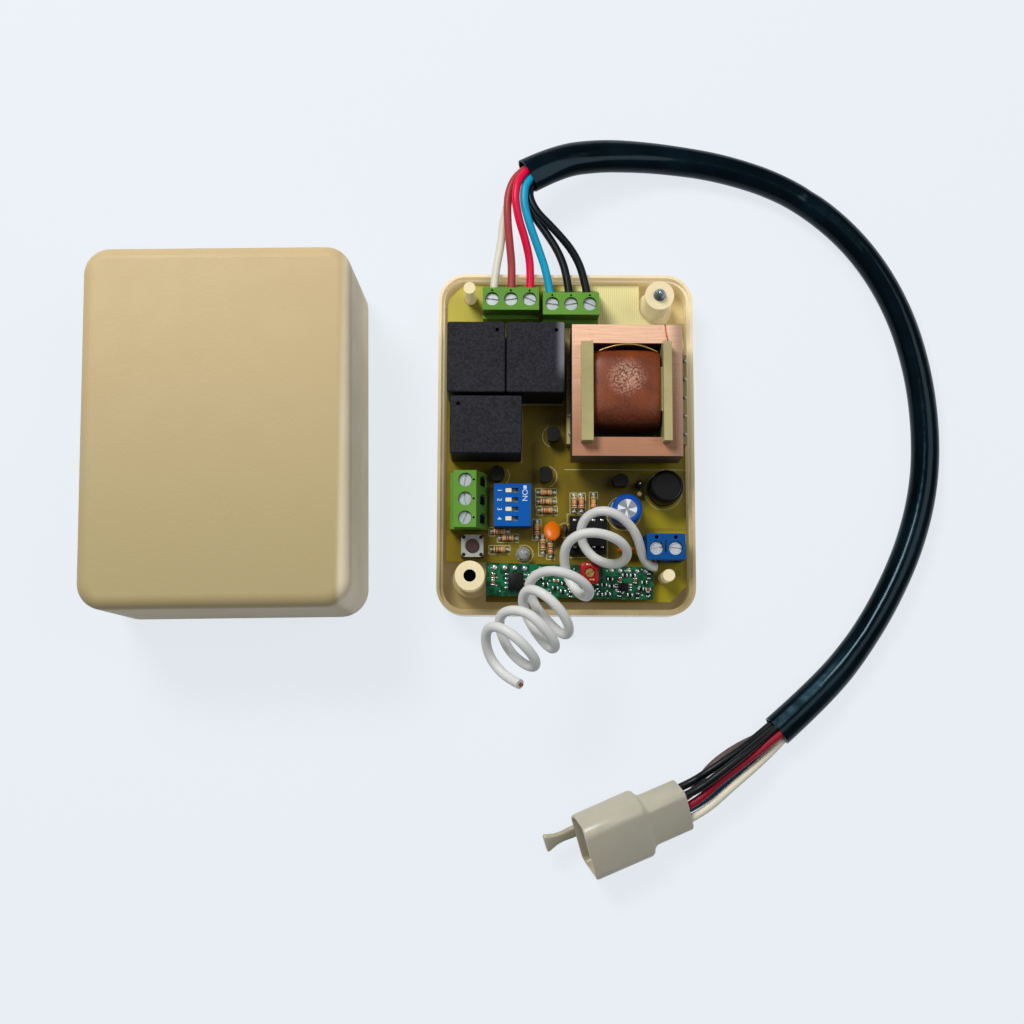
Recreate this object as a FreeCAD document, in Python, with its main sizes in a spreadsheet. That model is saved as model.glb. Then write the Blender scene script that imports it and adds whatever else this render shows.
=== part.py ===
import FreeCAD, Part
import Sketcher
import math
import os
import re

# Radio receiver base with its lifted cover and harness.
# The origin is the middle of the tray's underside, +X runs along its short side and +Z is up.
document = FreeCAD.newDocument("RadioReceiver")
sheet = document.addObject("Spreadsheet::Sheet", "Sizes")
V = FreeCAD.Vector
UP = V(0, 0, 1)
row_count = 0
numbers = {}


def size(name, value):
    global row_count
    row_count += 1
    sheet.set("A%d" % row_count, name)
    value = round(value, 6)
    sheet.set("B%d" % row_count, str(value))
    sheet.setAlias("B%d" % row_count, name)
    numbers[name] = value


def sized(formula):
    return re.sub(r"\b([a-z][a-z0-9]*(?:_[a-z0-9]+)+)\b", r"Sizes.\1", str(formula))


def bind(thing, prop, formula):
    thing.setExpression(prop, sized(formula))


# Tray and board stack
for name, value in (
        ("tray_height", 11.0), ("tray_wall", 1.6),
        ("tray_floor", 2.0), ("tray_corner", 7.5), ("tray_round", 1.2), ("rim_outer", 0.8), ("rim_step", 1.4),
        ("seat_height", 6.4), ("board_thickness", 1.6), ("pillar_height", 21.0), ("pillar_radius", 3.9),
        ("collar_radius", 4.9), ("screw_hole", 1.65), ("head_recess", 3.0), ("recess_depth", 3.0),
        ("pin_radius", 1.6), ("pin_height", 19.0), ("pin_shoulder", 3.0), ("rest_radius", 2.5),
        ("board_chamfer", 4.6), ("notch_width", 12.4), ("notch_depth", 10.9), ("notch_round", 4.4),
        ("pin_hole", 1.75), ("board_room", 0.4), ("back_room", 2.1)):
    size(name, value)
# Cover, lying closed side up beside the tray
for name, value in (
        ("cover_x", -89.72), ("cover_y", -0.67), ("cover_height", 41.0), ("cover_wall", 2.0),
        ("cover_top", 2.2), ("cover_round", 3.4), ("cover_draft", 1.2), ("lip_depth", 1.2), ("lip_inset", 0.9),
        ("boss_start", 11.6), ("boss_hole", 1.3), ("boss_depth", 9.0), ("gate_left", -23.0), ("gate_width", 32.0),
        ("gate_height", 9.0)):
    size(name, value)
# Wire terminals, drawn with their row along X and their entries toward +Y
for name, value in (
        ("way_pitch", 5.08), ("terminal_height", 10.5), ("terminal_depth", 9.0), ("terminal_top", 6.0),
        ("terminal_foot", 1.5), ("terminal_lip", 1.1), ("lip_height", 5.0), ("screw_offset", 3.05),
        ("aerial_depth", 6.95), ("aerial_top", 6.9), ("aerial_offset", 3.9), ("well_radius", 1.85),
        ("well_floor", 8.1), ("shank_hole", 1.4), ("cavity_floor", 2.2), ("cavity_roof", 6.9),
        ("cavity_width", 4.0), ("cavity_depth", 4.8), ("entry_width", 3.4), ("entry_floor", 2.7),
        ("entry_height", 3.8), ("cage_width", 3.8), ("cage_depth", 4.4), ("cage_height", 4.6),
        ("cage_opening", 2.6), ("cage_sill", 1.0), ("cage_mouth", 2.8), ("head_radius", 1.7),
        ("head_height", 1.3), ("head_base", 8.2), ("slot_width", 0.5), ("slot_depth", 0.5),
        ("shank_radius", 1.2), ("shank_tip", 5.2), ("left_block_x", -15.2), ("blocks_apart", 1.05),
        ("left_block_back", 9.95), ("right_block_back", 11.21)):
    size(name, value)
# Relays
for name, value in (
        ("relay_width", 15.5), ("relay_length", 19.1), ("relay_top", 15.3), ("relay_wall", 0.7),
        ("relay_lift", 0.4), ("relay_base", 1.6), ("coil_radius", 4.3), ("coil_height", 10.0), ("core_radius", 1.8),
        ("coil_shift", -2.2), ("yoke_shift", 4.6), ("yoke_thick", 0.9), ("armature_thick", 0.8),
        ("armature_length", 11.4), ("armature_width", 9.0), ("armature_gap", 0.75),
        ("side_room", 1.25), ("relay_gap", 0.3), ("row_gap", 0.95), ("block_gap", 3.45), ("third_gap", 0.87),
        ("third_inset", 0.85)):
    size(name, value)
# Transformer
for name, value in (
        ("core_length", 29.17), ("core_width", 35.21), ("core_back", 4.6), ("core_leg", 5.0), ("seam_width", 4.68),
        ("core_behind", 15.61), ("core_floor", 12.6), ("core_top", 25.0), ("tongue_width", 9.8),
        ("cheek_thick", 0.7), ("cheek_width", 24.75), ("cheek_top", 29.0), ("rail_inset", 2.24),
        ("rail_outset", 3.26), ("rail_width", 26.25), ("foot_reach", 0.9), ("foot_tail", 2.73),
        ("foot_room", 0.5), ("tube_wall", 0.9), ("winding_width", 21.2), ("winding_floor", 10.2),
        ("winding_top", 27.5), ("winding_round", 3.2), ("bobbin_pin", 0.4)):
    size(name, value)
# Switches, chip and small parts
for name, value in (
        ("dip_length", 9.98), ("dip_width", 11.5),
        ("dip_top", 14.0), ("dip_lift", 0.4), ("slot_length", 3.5), ("slot_across", 1.3),
        ("slot_deep", 1.6), ("slider_length", 1.6), ("slider_across", 1.1),
        ("dip_pitch", 2.54), ("button_side", 6.0), ("button_height", 3.6),
        ("button_hole", 1.85), ("stem_radius", 1.75), ("stem_top", 4.4), ("flange_radius", 2.4),
        ("chip_x", 5.88), ("socket_length", 9.8), ("socket_width", 10.2),
        ("socket_height", 2.8), ("chip_length", 9.4), ("chip_width", 6.4), ("chip_height", 3.1),
        ("chip_row", 3.81), ("lamp_x", -11.71), ("lamp_radius", 1.5), ("lamp_flange", 1.95),
        ("blue_cap_x", 15.9), ("blue_cap_radius", 4.05), ("blue_cap_height", 11.0),
        ("black_cap_radius", 4.5), ("black_cap_height", 9.0),
        ("resistor_radius", 0.8), ("resistor_length", 3.3), ("resistor_cap", 0.9), ("wire_leg", 0.25),
        ("radio_width", 8.9), ("radio_thick", 1.0), ("radio_lift", 2.5), ("radio_turn", -1.4), ("radio_side", 0.35),
        ("radio_end", 1.75), ("coil_x", 6.09),
        ("former_radius", 2.5), ("former_hole", 1.28), ("former_height", 4.5), ("slug_radius", 1.2),
        ("slug_height", 3.4)):
    size(name, value)
# Harness, connector and aerial
for name, value in (
        ("lead_diameter", 2.2), ("copper_diameter", 0.9), ("sleeve_diameter", 7.8), ("sleeve_bore", 7.3),
        ("bore_depth", 8.0), ("rear_length", 12.1), ("rear_width", 12.7), ("rear_height", 8.5),
        ("plug_length", 17.5), ("plug_width", 17.4), ("plug_height", 11.0), ("plug_wall", 1.2), ("plug_cavity", 13.0),
        ("way_across", 3.9), ("way_level", 2.0), ("latch_width", 2.5), ("latch_side", -1.0),
        ("aerial_wire", 2.5), ("aerial_copper", 1.2)):
    size(name, value)
n = numbers

# The tray is as long and wide as what stands in it, with each piece placed from its neighbour or the nearest edge
size("foot_span", n["foot_reach"] + n["core_length"] + n["foot_tail"])
size("tray_length", 2 * n["tray_wall"] + n["side_room"] + 2 * n["relay_width"] + n["relay_gap"] + n["row_gap"]
     + n["foot_span"] + n["foot_room"])
size("board_width", n["left_block_back"] + n["terminal_lip"] + n["block_gap"] + n["relay_length"] + n["third_gap"]
     + n["relay_width"] + 38.33)
size("tray_width", 2 * n["tray_wall"] + n["board_room"] + n["back_room"] + n["board_width"])
inner_x = n["tray_length"] / 2 - n["tray_wall"]
edge_y = n["tray_width"] / 2
size("board_left", -inner_x + 0.7)
size("board_right", inner_x - 0.5)
size("board_back", edge_y - n["tray_wall"] - n["board_room"])
size("board_bottom", n["board_back"] - n["board_width"])
left, right, front, back = n["board_left"], n["board_right"], n["board_bottom"], n["board_back"]
for name, value in (
        ("pillar_right_x", inner_x - 8.6), ("pillar_right_y", edge_y - 8.5), ("pillar_left_x", 7.6 - inner_x),
        ("pillar_left_y", 9.9 - edge_y), ("pin_left_x", 7.0 - inner_x), ("pin_left_y", edge_y - 6.1),
        ("pin_right_x", inner_x - 6.6), ("pin_right_y", 10.3 - edge_y),
        ("notch_right_x", right - n["notch_width"]), ("notch_right_y", back - n["notch_depth"]),
        ("notch_left_x", left + 11.0), ("notch_left_y", front + 10.85),
        ("left_block_y", back - n["left_block_back"]), ("right_block_y", back - n["right_block_back"]),
        ("right_block_x", n["left_block_x"] + 3 * n["way_pitch"] + n["blocks_apart"]),
        ("side_block_x", left + 2.45), ("side_block_y", front + 26.9),
        ("aerial_block_x", right - 6.7), ("aerial_block_y", front + 17.73),
        ("relay_one_x", -inner_x + n["side_room"] + n["relay_width"] / 2)):
    size(name, value)
size("relay_one_y", n["left_block_y"] - n["terminal_lip"] - n["block_gap"] - n["relay_length"] / 2)
size("relay_two_x", n["relay_one_x"] + n["relay_width"] + n["relay_gap"])
size("relay_two_y", n["relay_one_y"])
size("relay_three_x", n["relay_one_x"] - n["relay_width"] / 2 + n["third_inset"] + n["relay_length"] / 2)
size("relay_three_y", n["relay_one_y"] - n["relay_length"] / 2 - n["third_gap"] - n["relay_width"] / 2)
size("foot_left", n["relay_two_x"] + n["relay_width"] / 2 + n["row_gap"])
size("foot_right", n["foot_left"] + n["foot_span"])
size("core_left", n["foot_left"] + n["foot_reach"])
size("core_right", n["core_left"] + n["core_length"])
size("core_seam", n["core_right"] - n["seam_width"])
size("rail_left", n["core_left"] + n["rail_inset"])
size("rail_right", n["core_right"] - n["rail_outset"])
size("core_rear", back - n["core_behind"])
size("core_front", n["core_rear"] - n["core_width"])
size("tongue_front", n["core_front"] + 12.82)
size("tongue_rear", n["tongue_front"] + n["tongue_width"])
size("cheek_front", n["core_front"] + 5.22)
size("cheek_rear", n["cheek_front"] + n["cheek_width"])
size("rail_front", n["core_front"] + 3.52)
size("rail_rear", n["rail_front"] + n["rail_width"])
size("winding_front", n["cheek_front"] + 2.3)
size("winding_rear", n["winding_front"] + n["winding_width"])
for name, value in (
        ("dip_left", left + 13.14), ("dip_front", front + 20.06), ("button_x", left + 7.36),
        ("button_y", front + 14.88), ("chip_y", front + 18.1), ("lamp_y", front + 12.94),
        ("blue_cap_y", front + 24.28), ("black_cap_x", right - 6.1), ("black_cap_y", front + 30.6),
        ("coil_y", front + 7.46), ("radio_y", front + 5.4)):
    size(name, value)
size("slot_left", n["dip_left"] + 3.02)
size("slider_start", n["slot_left"] + 0.09)
size("dip_middle", n["dip_front"] + 5.84)
radio_left = n["pillar_left_x"] + n["pillar_radius"] + n["radio_side"]
radio_right = n["pin_right_x"] - n["pin_radius"] - n["radio_end"]
size("radio_length", radio_right - radio_left)
size("radio_x", (radio_left + radio_right) / 2)
document.recompute()


def plane_of(body, role):
    for feature in body.Origin.OriginFeatures:
        if feature.Role == role:
            return feature


def sketch_on(body, name, role, lift=0):
    sketch = body.newObject("Sketcher::SketchObject", name)
    sketch.AttachmentSupport = (plane_of(body, role), [""])
    sketch.MapMode = "FlatFace"
    if lift != 0:
        bind(sketch, "AttachmentOffset.Base.z", lift)
    return sketch


def place_vertex(sketch, index, end, x, y, guess=(1.0, 1.0)):
    number = sketch.addConstraint(Sketcher.Constraint("DistanceX", -1, 1, index, end, guess[0]))
    bind(sketch, "Constraints[%d]" % number, x)
    number = sketch.addConstraint(Sketcher.Constraint("DistanceY", -1, 1, index, end, guess[1]))
    bind(sketch, "Constraints[%d]" % number, y)


def outline(sketch, points):
    first = sketch.GeometryCount
    count = len(points)
    for index in range(count):
        turn = 2 * math.pi * index / count
        after = 2 * math.pi * (index + 1) / count
        start = V(math.cos(turn) + 5, math.sin(turn) + 5, 0)
        stop = V(math.cos(after) + 5, math.sin(after) + 5, 0)
        sketch.addGeometry(Part.LineSegment(start, stop), False)
    for index in range(count):
        following = first + (index + 1) % count
        sketch.addConstraint(Sketcher.Constraint("Coincident", first + index, 2, following, 1))
    for index, (x, y) in enumerate(points):
        place_vertex(sketch, first + index, 1, x, y)


def rectangle(sketch, x0, y0, x1, y1):
    outline(sketch, [(x0, y0), (x1, y0), (x1, y1), (x0, y1)])


def rounded(sketch, half_x, half_y, radius, guess):
    """A middle-centred rectangle with round corners; guess holds the plain half sizes and radius."""
    gx, gy, gr = guess
    first = sketch.GeometryCount
    signs = ((1, 1), (-1, 1), (-1, -1), (1, -1))
    for index, (sx, sy) in enumerate(signs):
        centre = V(sx * (gx - gr), sy * (gy - gr), 0)
        turn = index * math.pi / 2
        sketch.addGeometry(Part.ArcOfCircle(Part.Circle(centre, UP, gr), turn, turn + math.pi / 2), False)
    for index in range(4):
        (sx, sy), (nx, ny) = signs[index], signs[(index + 1) % 4]
        if index % 2 == 0:
            start, stop = V(sx * (gx - gr), sy * gy, 0), V(nx * (gx - gr), ny * gy, 0)
        else:
            start, stop = V(sx * gx, sy * (gy - gr), 0), V(nx * gx, ny * (gy - gr), 0)
        sketch.addGeometry(Part.LineSegment(start, stop), False)
    for index in range(4):
        (sx, sy), (nx, ny) = signs[index], signs[(index + 1) % 4]
        line = first + 4 + index
        if index % 2 == 0:
            points = (("%d * (%s - (%s))" % (sx, half_x, radius), "%d * (%s)" % (sy, half_y)),
                      ("%d * (%s - (%s))" % (nx, half_x, radius), "%d * (%s)" % (ny, half_y)))
        else:
            points = (("%d * (%s)" % (sx, half_x), "%d * (%s - (%s))" % (sy, half_y, radius)),
                      ("%d * (%s)" % (nx, half_x), "%d * (%s - (%s))" % (ny, half_y, radius)))
        if index % 2 == 0:
            ends = ((sx * (gx - gr), sy * gy), (nx * (gx - gr), ny * gy))
        else:
            ends = ((sx * gx, sy * (gy - gr)), (nx * gx, ny * (gy - gr)))
        place_vertex(sketch, line, 1, points[0][0], points[0][1], ends[0])
        place_vertex(sketch, line, 2, points[1][0], points[1][1], ends[1])
        sketch.addConstraint(Sketcher.Constraint("Coincident", first + index, 2, line, 1))
        sketch.addConstraint(Sketcher.Constraint("Coincident", first + (index + 1) % 4, 1, line, 2))
    for index in range(4):
        number = sketch.addConstraint(Sketcher.Constraint("Radius", first + index, gr))
        bind(sketch, "Constraints[%d]" % number, radius)


def ring(sketch, x, y, radius):
    index = sketch.addGeometry(Part.Circle(V(3, 3, 0), UP, 1.0), False)
    place_vertex(sketch, index, 3, x, y)
    number = sketch.addConstraint(Sketcher.Constraint("Radius", index, 1.0))
    bind(sketch, "Constraints[%d]" % number, radius)


def new_body(name):
    return document.addObject("PartDesign::Body", name)


def feature(body, kind, name, sketch, length, backwards=False):
    made = body.newObject("PartDesign::" + kind, name)
    made.Profile = sketch
    bind(made, "Length", length)
    made.Reversed = backwards
    body.Tip = made
    document.recompute()
    return made


def edges_where(made, test):
    found = []
    for index, edge in enumerate(made.Shape.Edges):
        if test(edge):
            found.append("Edge%d" % (index + 1))
    return found


def round_off(body, name, base, test, radius):
    made = body.newObject("PartDesign::Fillet", name)
    made.Base = (base, edges_where(base, test))
    bind(made, "Radius", radius)
    body.Tip = made
    document.recompute()
    return made


def upright(edge, low=None, high=None, corner=None):
    box = edge.BoundBox
    if box.XLength > 2.5 or box.YLength > 2.5 or box.ZLength < 0.3:
        return False
    if low is not None and abs(box.ZMin - low) > 0.05:
        return False
    if high is not None and abs(box.ZMax - high) > 0.05:
        return False
    if corner is not None:
        return abs(abs(box.Center.x) - corner[0]) < 2.0 and abs(abs(box.Center.y) - corner[1]) < 2.0
    return True


def set_place(thing, x, y, z, turn=0.0, axis=UP):
    thing.Placement = FreeCAD.Placement(V(0, 0, 0), FreeCAD.Rotation(axis, turn))
    bind(thing, "Placement.Base.x", x)
    bind(thing, "Placement.Base.y", y)
    bind(thing, "Placement.Base.z", z)
    return thing


def block(name, corner, spans):
    made = document.addObject("Part::Box", name)
    for prop, formula in zip(("Length", "Width", "Height"), spans):
        bind(made, prop, formula)
    return set_place(made, *corner)


def rod(name, foot, radius, height, axis=None):
    made = document.addObject("Part::Cylinder", name)
    bind(made, "Radius", radius)
    bind(made, "Height", height)
    set_place(made, *foot)
    if axis == "x":
        made.Placement.Rotation = FreeCAD.Rotation(V(0, 1, 0), 90)
    if axis == "y":
        made.Placement.Rotation = FreeCAD.Rotation(V(1, 0, 0), -90)
    return made


def cut(name, base, tool):
    made = document.addObject("Part::Cut", name)
    made.Base = base
    made.Tool = tool
    return made


def join(name, shapes):
    made = document.addObject("Part::MultiFuse", name)
    made.Shapes = shapes
    return made


def group(name, links):
    made = document.addObject("Part::Compound", name)
    made.Links = links
    return made


nodes = {}
board_top = "(seat_height + board_thickness)"
board_z = numbers["seat_height"] + numbers["board_thickness"]

# Base tray
tray = new_body("base_tray")
half_x = "tray_length / 2"
half_y = "tray_width / 2"
flat_x = numbers["tray_length"] / 2
flat_y = numbers["tray_width"] / 2
corner = numbers["tray_corner"]
sketch = sketch_on(tray, "TrayOutline", "XY_Plane")
rounded(sketch, half_x, half_y, "tray_corner", (flat_x, flat_y, corner))
shell = feature(tray, "Pad", "TrayBlock", sketch, "tray_height")
shell = round_off(tray, "TrayFootRound", shell, lambda edge: edge.BoundBox.ZMax < 0.01, "tray_round")
solid_volume = shell.Shape.Volume
sketch = sketch_on(tray, "TrayHollowOutline", "XY_Plane", "tray_height")
wall = numbers["tray_wall"]
rounded(sketch, half_x + " - tray_wall", half_y + " - tray_wall", "tray_corner - tray_wall",
        (flat_x - wall, flat_y - wall, corner - wall))
shell = feature(tray, "Pocket", "TrayHollow", sketch, "tray_height - tray_floor")
hollow_volume = shell.Shape.Volume
print("tray", round(solid_volume), "->", round(hollow_volume), "hollowed:", hollow_volume < 0.5 * solid_volume)
sketch = sketch_on(tray, "RimStepOutline", "XY_Plane", "tray_height")
rim = numbers["rim_outer"]
rounded(sketch, half_x + " - rim_outer", half_y + " - rim_outer", "tray_corner - rim_outer",
        (flat_x - rim, flat_y - rim, corner - rim))
shell = feature(tray, "Pocket", "RimStep", sketch, "rim_step")
sketch = sketch_on(tray, "CollarOutline", "XY_Plane", "tray_floor")
ring(sketch, "pillar_right_x", "pillar_right_y", "collar_radius")
ring(sketch, "pillar_left_x", "pillar_left_y", "collar_radius")
ring(sketch, "pin_left_x", "pin_left_y", "pin_shoulder")
ring(sketch, "pin_right_x", "pin_right_y", "pin_shoulder")
ring(sketch, -19, "board_bottom + 3.3", "rest_radius")
ring(sketch, 5, "board_back - 4", "rest_radius")
ring(sketch, "board_left + 2.7", 0, "rest_radius")
ring(sketch, "board_right - 2.9", 0, "rest_radius")
shell = feature(tray, "Pad", "BoardSeats", sketch, "seat_height - tray_floor")
sketch = sketch_on(tray, "PillarOutline", "XY_Plane", "tray_floor")
ring(sketch, "pillar_right_x", "pillar_right_y", "pillar_radius")
ring(sketch, "pillar_left_x", "pillar_left_y", "pillar_radius")
shell = feature(tray, "Pad", "Pillars", sketch, "pillar_height - tray_floor")
sketch = sketch_on(tray, "PinOutline", "XY_Plane", "tray_floor")
ring(sketch, "pin_left_x", "pin_left_y", "pin_radius")
ring(sketch, "pin_right_x", "pin_right_y", "pin_radius")
shell = feature(tray, "Pad", "LocatingPins", sketch, "pin_height - tray_floor")
sketch = sketch_on(tray, "ScrewHoleOutline", "XY_Plane", "pillar_height")
ring(sketch, "pillar_right_x", "pillar_right_y", "screw_hole")
ring(sketch, "pillar_left_x", "pillar_left_y", "screw_hole")
shell = feature(tray, "Pocket", "ScrewHoles", sketch, "pillar_height")
sketch = sketch_on(tray, "HeadRecessOutline", "XY_Plane", "recess_depth")
ring(sketch, "pillar_right_x", "pillar_right_y", "head_recess")
ring(sketch, "pillar_left_x", "pillar_left_y", "head_recess")
shell = feature(tray, "Pocket", "HeadRecesses", sketch, "recess_depth")
nodes["base_tray"] = tray

# Case screw, tip up through the right pillar
screw = new_body("case_screw")
sketch = sketch_on(screw, "CaseScrewProfile", "XZ_Plane")
outline(sketch, [(0, 0.6), (1.9, 0.6), (2.7, 1.5), (2.7, "recess_depth"), (1.45, "recess_depth"),
                 (1.45, "pillar_height + 1.6"), (0.3, "pillar_height + 3"), (0, "pillar_height + 3")])
turned = screw.newObject("PartDesign::Revolution", "CaseScrewTurned")
turned.Profile = sketch
turned.ReferenceAxis = (sketch, ["V_Axis"])
turned.Angle = 360.0
screw.Tip = turned
document.recompute()
sketch = sketch_on(screw, "CaseScrewCross", "XY_Plane", 1.6)
rectangle(sketch, -1.4, -0.3, 1.4, 0.3)
feature(screw, "Pocket", "CaseScrewSlot", sketch, 1.6)
set_place(screw, "pillar_right_x", "pillar_right_y", 0)
nodes["case_screw"] = screw

# Main board
board = new_body("main_board")
sketch = sketch_on(board, "BoardOutline", "XY_Plane", "seat_height")
outline(sketch, [("board_left", "notch_left_y"), ("notch_left_x", "notch_left_y"), ("notch_left_x", "board_bottom"),
                 ("board_right - board_chamfer", "board_bottom"), ("board_right", "board_bottom + board_chamfer"),
                 ("board_right", "notch_right_y"), ("notch_right_x", "notch_right_y"),
                 ("notch_right_x", "board_back"), ("board_left + board_chamfer", "board_back"),
                 ("board_left", "board_back - board_chamfer")])
ring(sketch, "pin_left_x", "pin_left_y", "pin_hole")
ring(sketch, "pin_right_x", "pin_right_y", "pin_hole")
slab = feature(board, "Pad", "BoardSlab", sketch, "board_thickness")
notch_corner = (numbers["notch_right_x"], numbers["notch_right_y"])
round_off(board, "NotchRound", slab, lambda edge: upright(edge) and edge.BoundBox.Center.x > 0
          and abs(edge.BoundBox.Center.x - notch_corner[0]) < 0.1
          and abs(edge.BoundBox.Center.y - notch_corner[1]) < 0.1, "notch_round")
nodes["main_board"] = board

# Cover with its lip, bosses and the gate for the leads
cover = new_body("cover")
sketch = sketch_on(cover, "CoverOutline", "XY_Plane", "lip_depth")
rounded(sketch, half_x, half_y, "tray_corner", (flat_x, flat_y, corner))
hood = feature(cover, "Pad", "CoverBlock", sketch, "cover_height - lip_depth")
bind(hood, "TaperAngle", "-cover_draft")
document.recompute()
hood = round_off(cover, "CoverTopRound", hood,
                 lambda edge: edge.BoundBox.ZMin > numbers["cover_height"] - 0.01, "cover_round")
sketch = sketch_on(cover, "LipOutline", "XY_Plane")
inset = numbers["lip_inset"]
rounded(sketch, half_x + " - lip_inset", half_y + " - lip_inset", "tray_corner - lip_inset",
        (flat_x - inset, flat_y - inset, corner - inset))
hood = feature(cover, "Pad", "CoverLip", sketch, "lip_depth + 0.5")
solid_volume = hood.Shape.Volume
sketch = sketch_on(cover, "CoverHollowOutline", "XY_Plane")
wall = numbers["cover_wall"]
rounded(sketch, half_x + " - cover_wall", half_y + " - cover_wall", "tray_corner - cover_wall",
        (flat_x - wall, flat_y - wall, corner - wall))
hood = feature(cover, "Pocket", "CoverHollow", sketch, "cover_height - cover_top", True)
bind(hood, "TaperAngle", "-cover_draft")
document.recompute()
print("cover", round(solid_volume), "->", round(hood.Shape.Volume),
      "hollowed:", hood.Shape.Volume < 0.4 * solid_volume)
sketch = sketch_on(cover, "CoverBossOutline", "XY_Plane", "boss_start")
ring(sketch, "pillar_right_x", "pillar_right_y", "pillar_radius")
ring(sketch, "pillar_left_x", "pillar_left_y", "pillar_radius")
hood = feature(cover, "Pad", "CoverBosses", sketch, "cover_height - cover_top / 2 - boss_start")
sketch = sketch_on(cover, "CoverBossHoles", "XY_Plane", "boss_start")
ring(sketch, "pillar_right_x", "pillar_right_y", "boss_hole")
ring(sketch, "pillar_left_x", "pillar_left_y", "boss_hole")
hood = feature(cover, "Pocket", "CoverBossBores", sketch, "boss_depth", True)
sketch = sketch_on(cover, "LeadGateOutline", "XY_Plane")
rectangle(sketch, "gate_left", half_y + " - cover_wall - 1.5", "gate_left + gate_width", half_y + " + 1")
hood = feature(cover, "Pocket", "LeadGate", sketch, "gate_height", True)
set_place(cover, "cover_x", "cover_y", 0, 0.9)
nodes["cover"] = cover


def terminal(name, ways, depth, top, offset, lip):
    body = new_body(name)
    sketch = sketch_on(body, name + "Profile", "YZ_Plane", "-%d * way_pitch / 2" % ways)
    points = [(0, 0), (depth, 0), (depth, "terminal_foot"), (top, "terminal_height"), (0, "terminal_height")]
    if lip:
        points += [(0, "lip_height"), ("-terminal_lip", "lip_height"), ("-terminal_lip", 0)]
        points = points[1:]
    outline(sketch, points)
    feature(body, "Pad", name + "Block", sketch, "%d * way_pitch" % ways)
    places = ["way_pitch * %.1f" % (index - (ways - 1) / 2) for index in range(ways)]
    sketch = sketch_on(body, name + "WellOutline", "XY_Plane", "terminal_height")
    for x in places:
        ring(sketch, x, offset, "well_radius")
        ring(sketch, x, "0.95" if not lip else "5.35", 0.3 if lip else 0.5)
    feature(body, "Pocket", name + "Wells", sketch, "terminal_height - well_floor")
    sketch = sketch_on(body, name + "ShankOutline", "XY_Plane", "terminal_height")
    for x in places:
        ring(sketch, x, offset, "shank_hole")
    feature(body, "Pocket", name + "ShankHoles", sketch, "terminal_height - cavity_roof + 0.2")
    sketch = sketch_on(body, name + "CavityOutline", "XY_Plane", "cavity_roof")
    for x in places:
        rectangle(sketch, x + " - cavity_width / 2", offset + " - cavity_depth / 2",
                  x + " + cavity_width / 2", offset + " + cavity_depth / 2")
    feature(body, "Pocket", name + "Cavities", sketch, "cavity_roof - cavity_floor")
    sketch = sketch_on(body, name + "EntryOutline", "XY_Plane", "entry_floor + entry_height")
    for x in places:
        rectangle(sketch, x + " - entry_width / 2", offset, x + " + entry_width / 2", depth + " + 1")
    feature(body, "Pocket", name + "Entries", sketch, "entry_height")
    nodes[name] = body
    return places


def cage(name):
    outer = block(name + "Block", ("-cage_width / 2", "-cage_depth / 2", "cavity_floor"),
                  ("cage_width", "cage_depth", "cage_height"))
    mouth = block(name + "Mouth", ("-cage_opening / 2", "-cage_depth / 2 - 1", "cavity_floor + cage_sill"),
                  ("cage_opening", "cage_depth + 2", "cage_mouth"))
    bore = rod(name + "Bore", (0, 0, "cavity_floor + cage_sill + 1"), 1.3, "cage_height")
    return cut(name, outer, join(name + "Room", [mouth, bore]))


def terminal_screw(name):
    head = rod(name + "Head", (0, 0, "head_base"), "head_radius", "head_height")
    shank = rod(name + "Shank", (0, 0, "shank_tip"), "shank_radius", "head_base - shank_tip + 0.2")
    slot = block(name + "Slot", (-2, "-slot_width / 2", "head_base + head_height - slot_depth"), (4, "slot_width", 1))
    return cut(name, join(name + "Solid", [head, shank]), slot)


cages = []
screw_number = 0
for name, ways, depth, top, offset, lip, at, turn in (
        ("wire_terminal_left", 3, "terminal_depth", "terminal_top", "screw_offset", True,
         ("left_block_x", "left_block_y"), 0),
        ("wire_terminal_right", 3, "terminal_depth", "terminal_top", "screw_offset", True,
         ("right_block_x", "right_block_y"), 0),
        ("side_terminal", 3, "terminal_depth", "terminal_top", "screw_offset", True,
         ("side_block_x", "side_block_y"), -90),
        ("antenna_terminal", 2, "aerial_depth", "aerial_top", "aerial_offset", False,
         ("aerial_block_x", "aerial_block_y"), 180)):
    places = terminal(name, ways, depth, top, offset, lip)
    set_place(nodes[name], at[0], at[1], board_top, turn)
    sign = {0: ("", ""), -90: ("", "-"), 180: ("-", "-")}[turn]
    for x in places:
        screw_number += 1
        if turn == -90:
            spot = ("%s + %s" % (at[0], offset), "%s - %s" % (at[1], x))
        elif turn == 180:
            spot = ("%s - %s" % (at[0], x), "%s - %s" % (at[1], offset))
        else:
            spot = ("%s + %s" % (at[0], x), "%s + %s" % (at[1], offset))
        made = cage("Cage%d" % screw_number)
        cages.append(set_place(made, spot[0], spot[1], board_top, turn))
        made = terminal_screw("terminal_screw_%d" % screw_number)
        nodes["terminal_screw_%d" % screw_number] = set_place(made, spot[0], spot[1], board_top,
                                                              turn + 17 * screw_number % 50 - 25)
nodes["terminal_cages"] = group("terminal_cages", cages)

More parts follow.
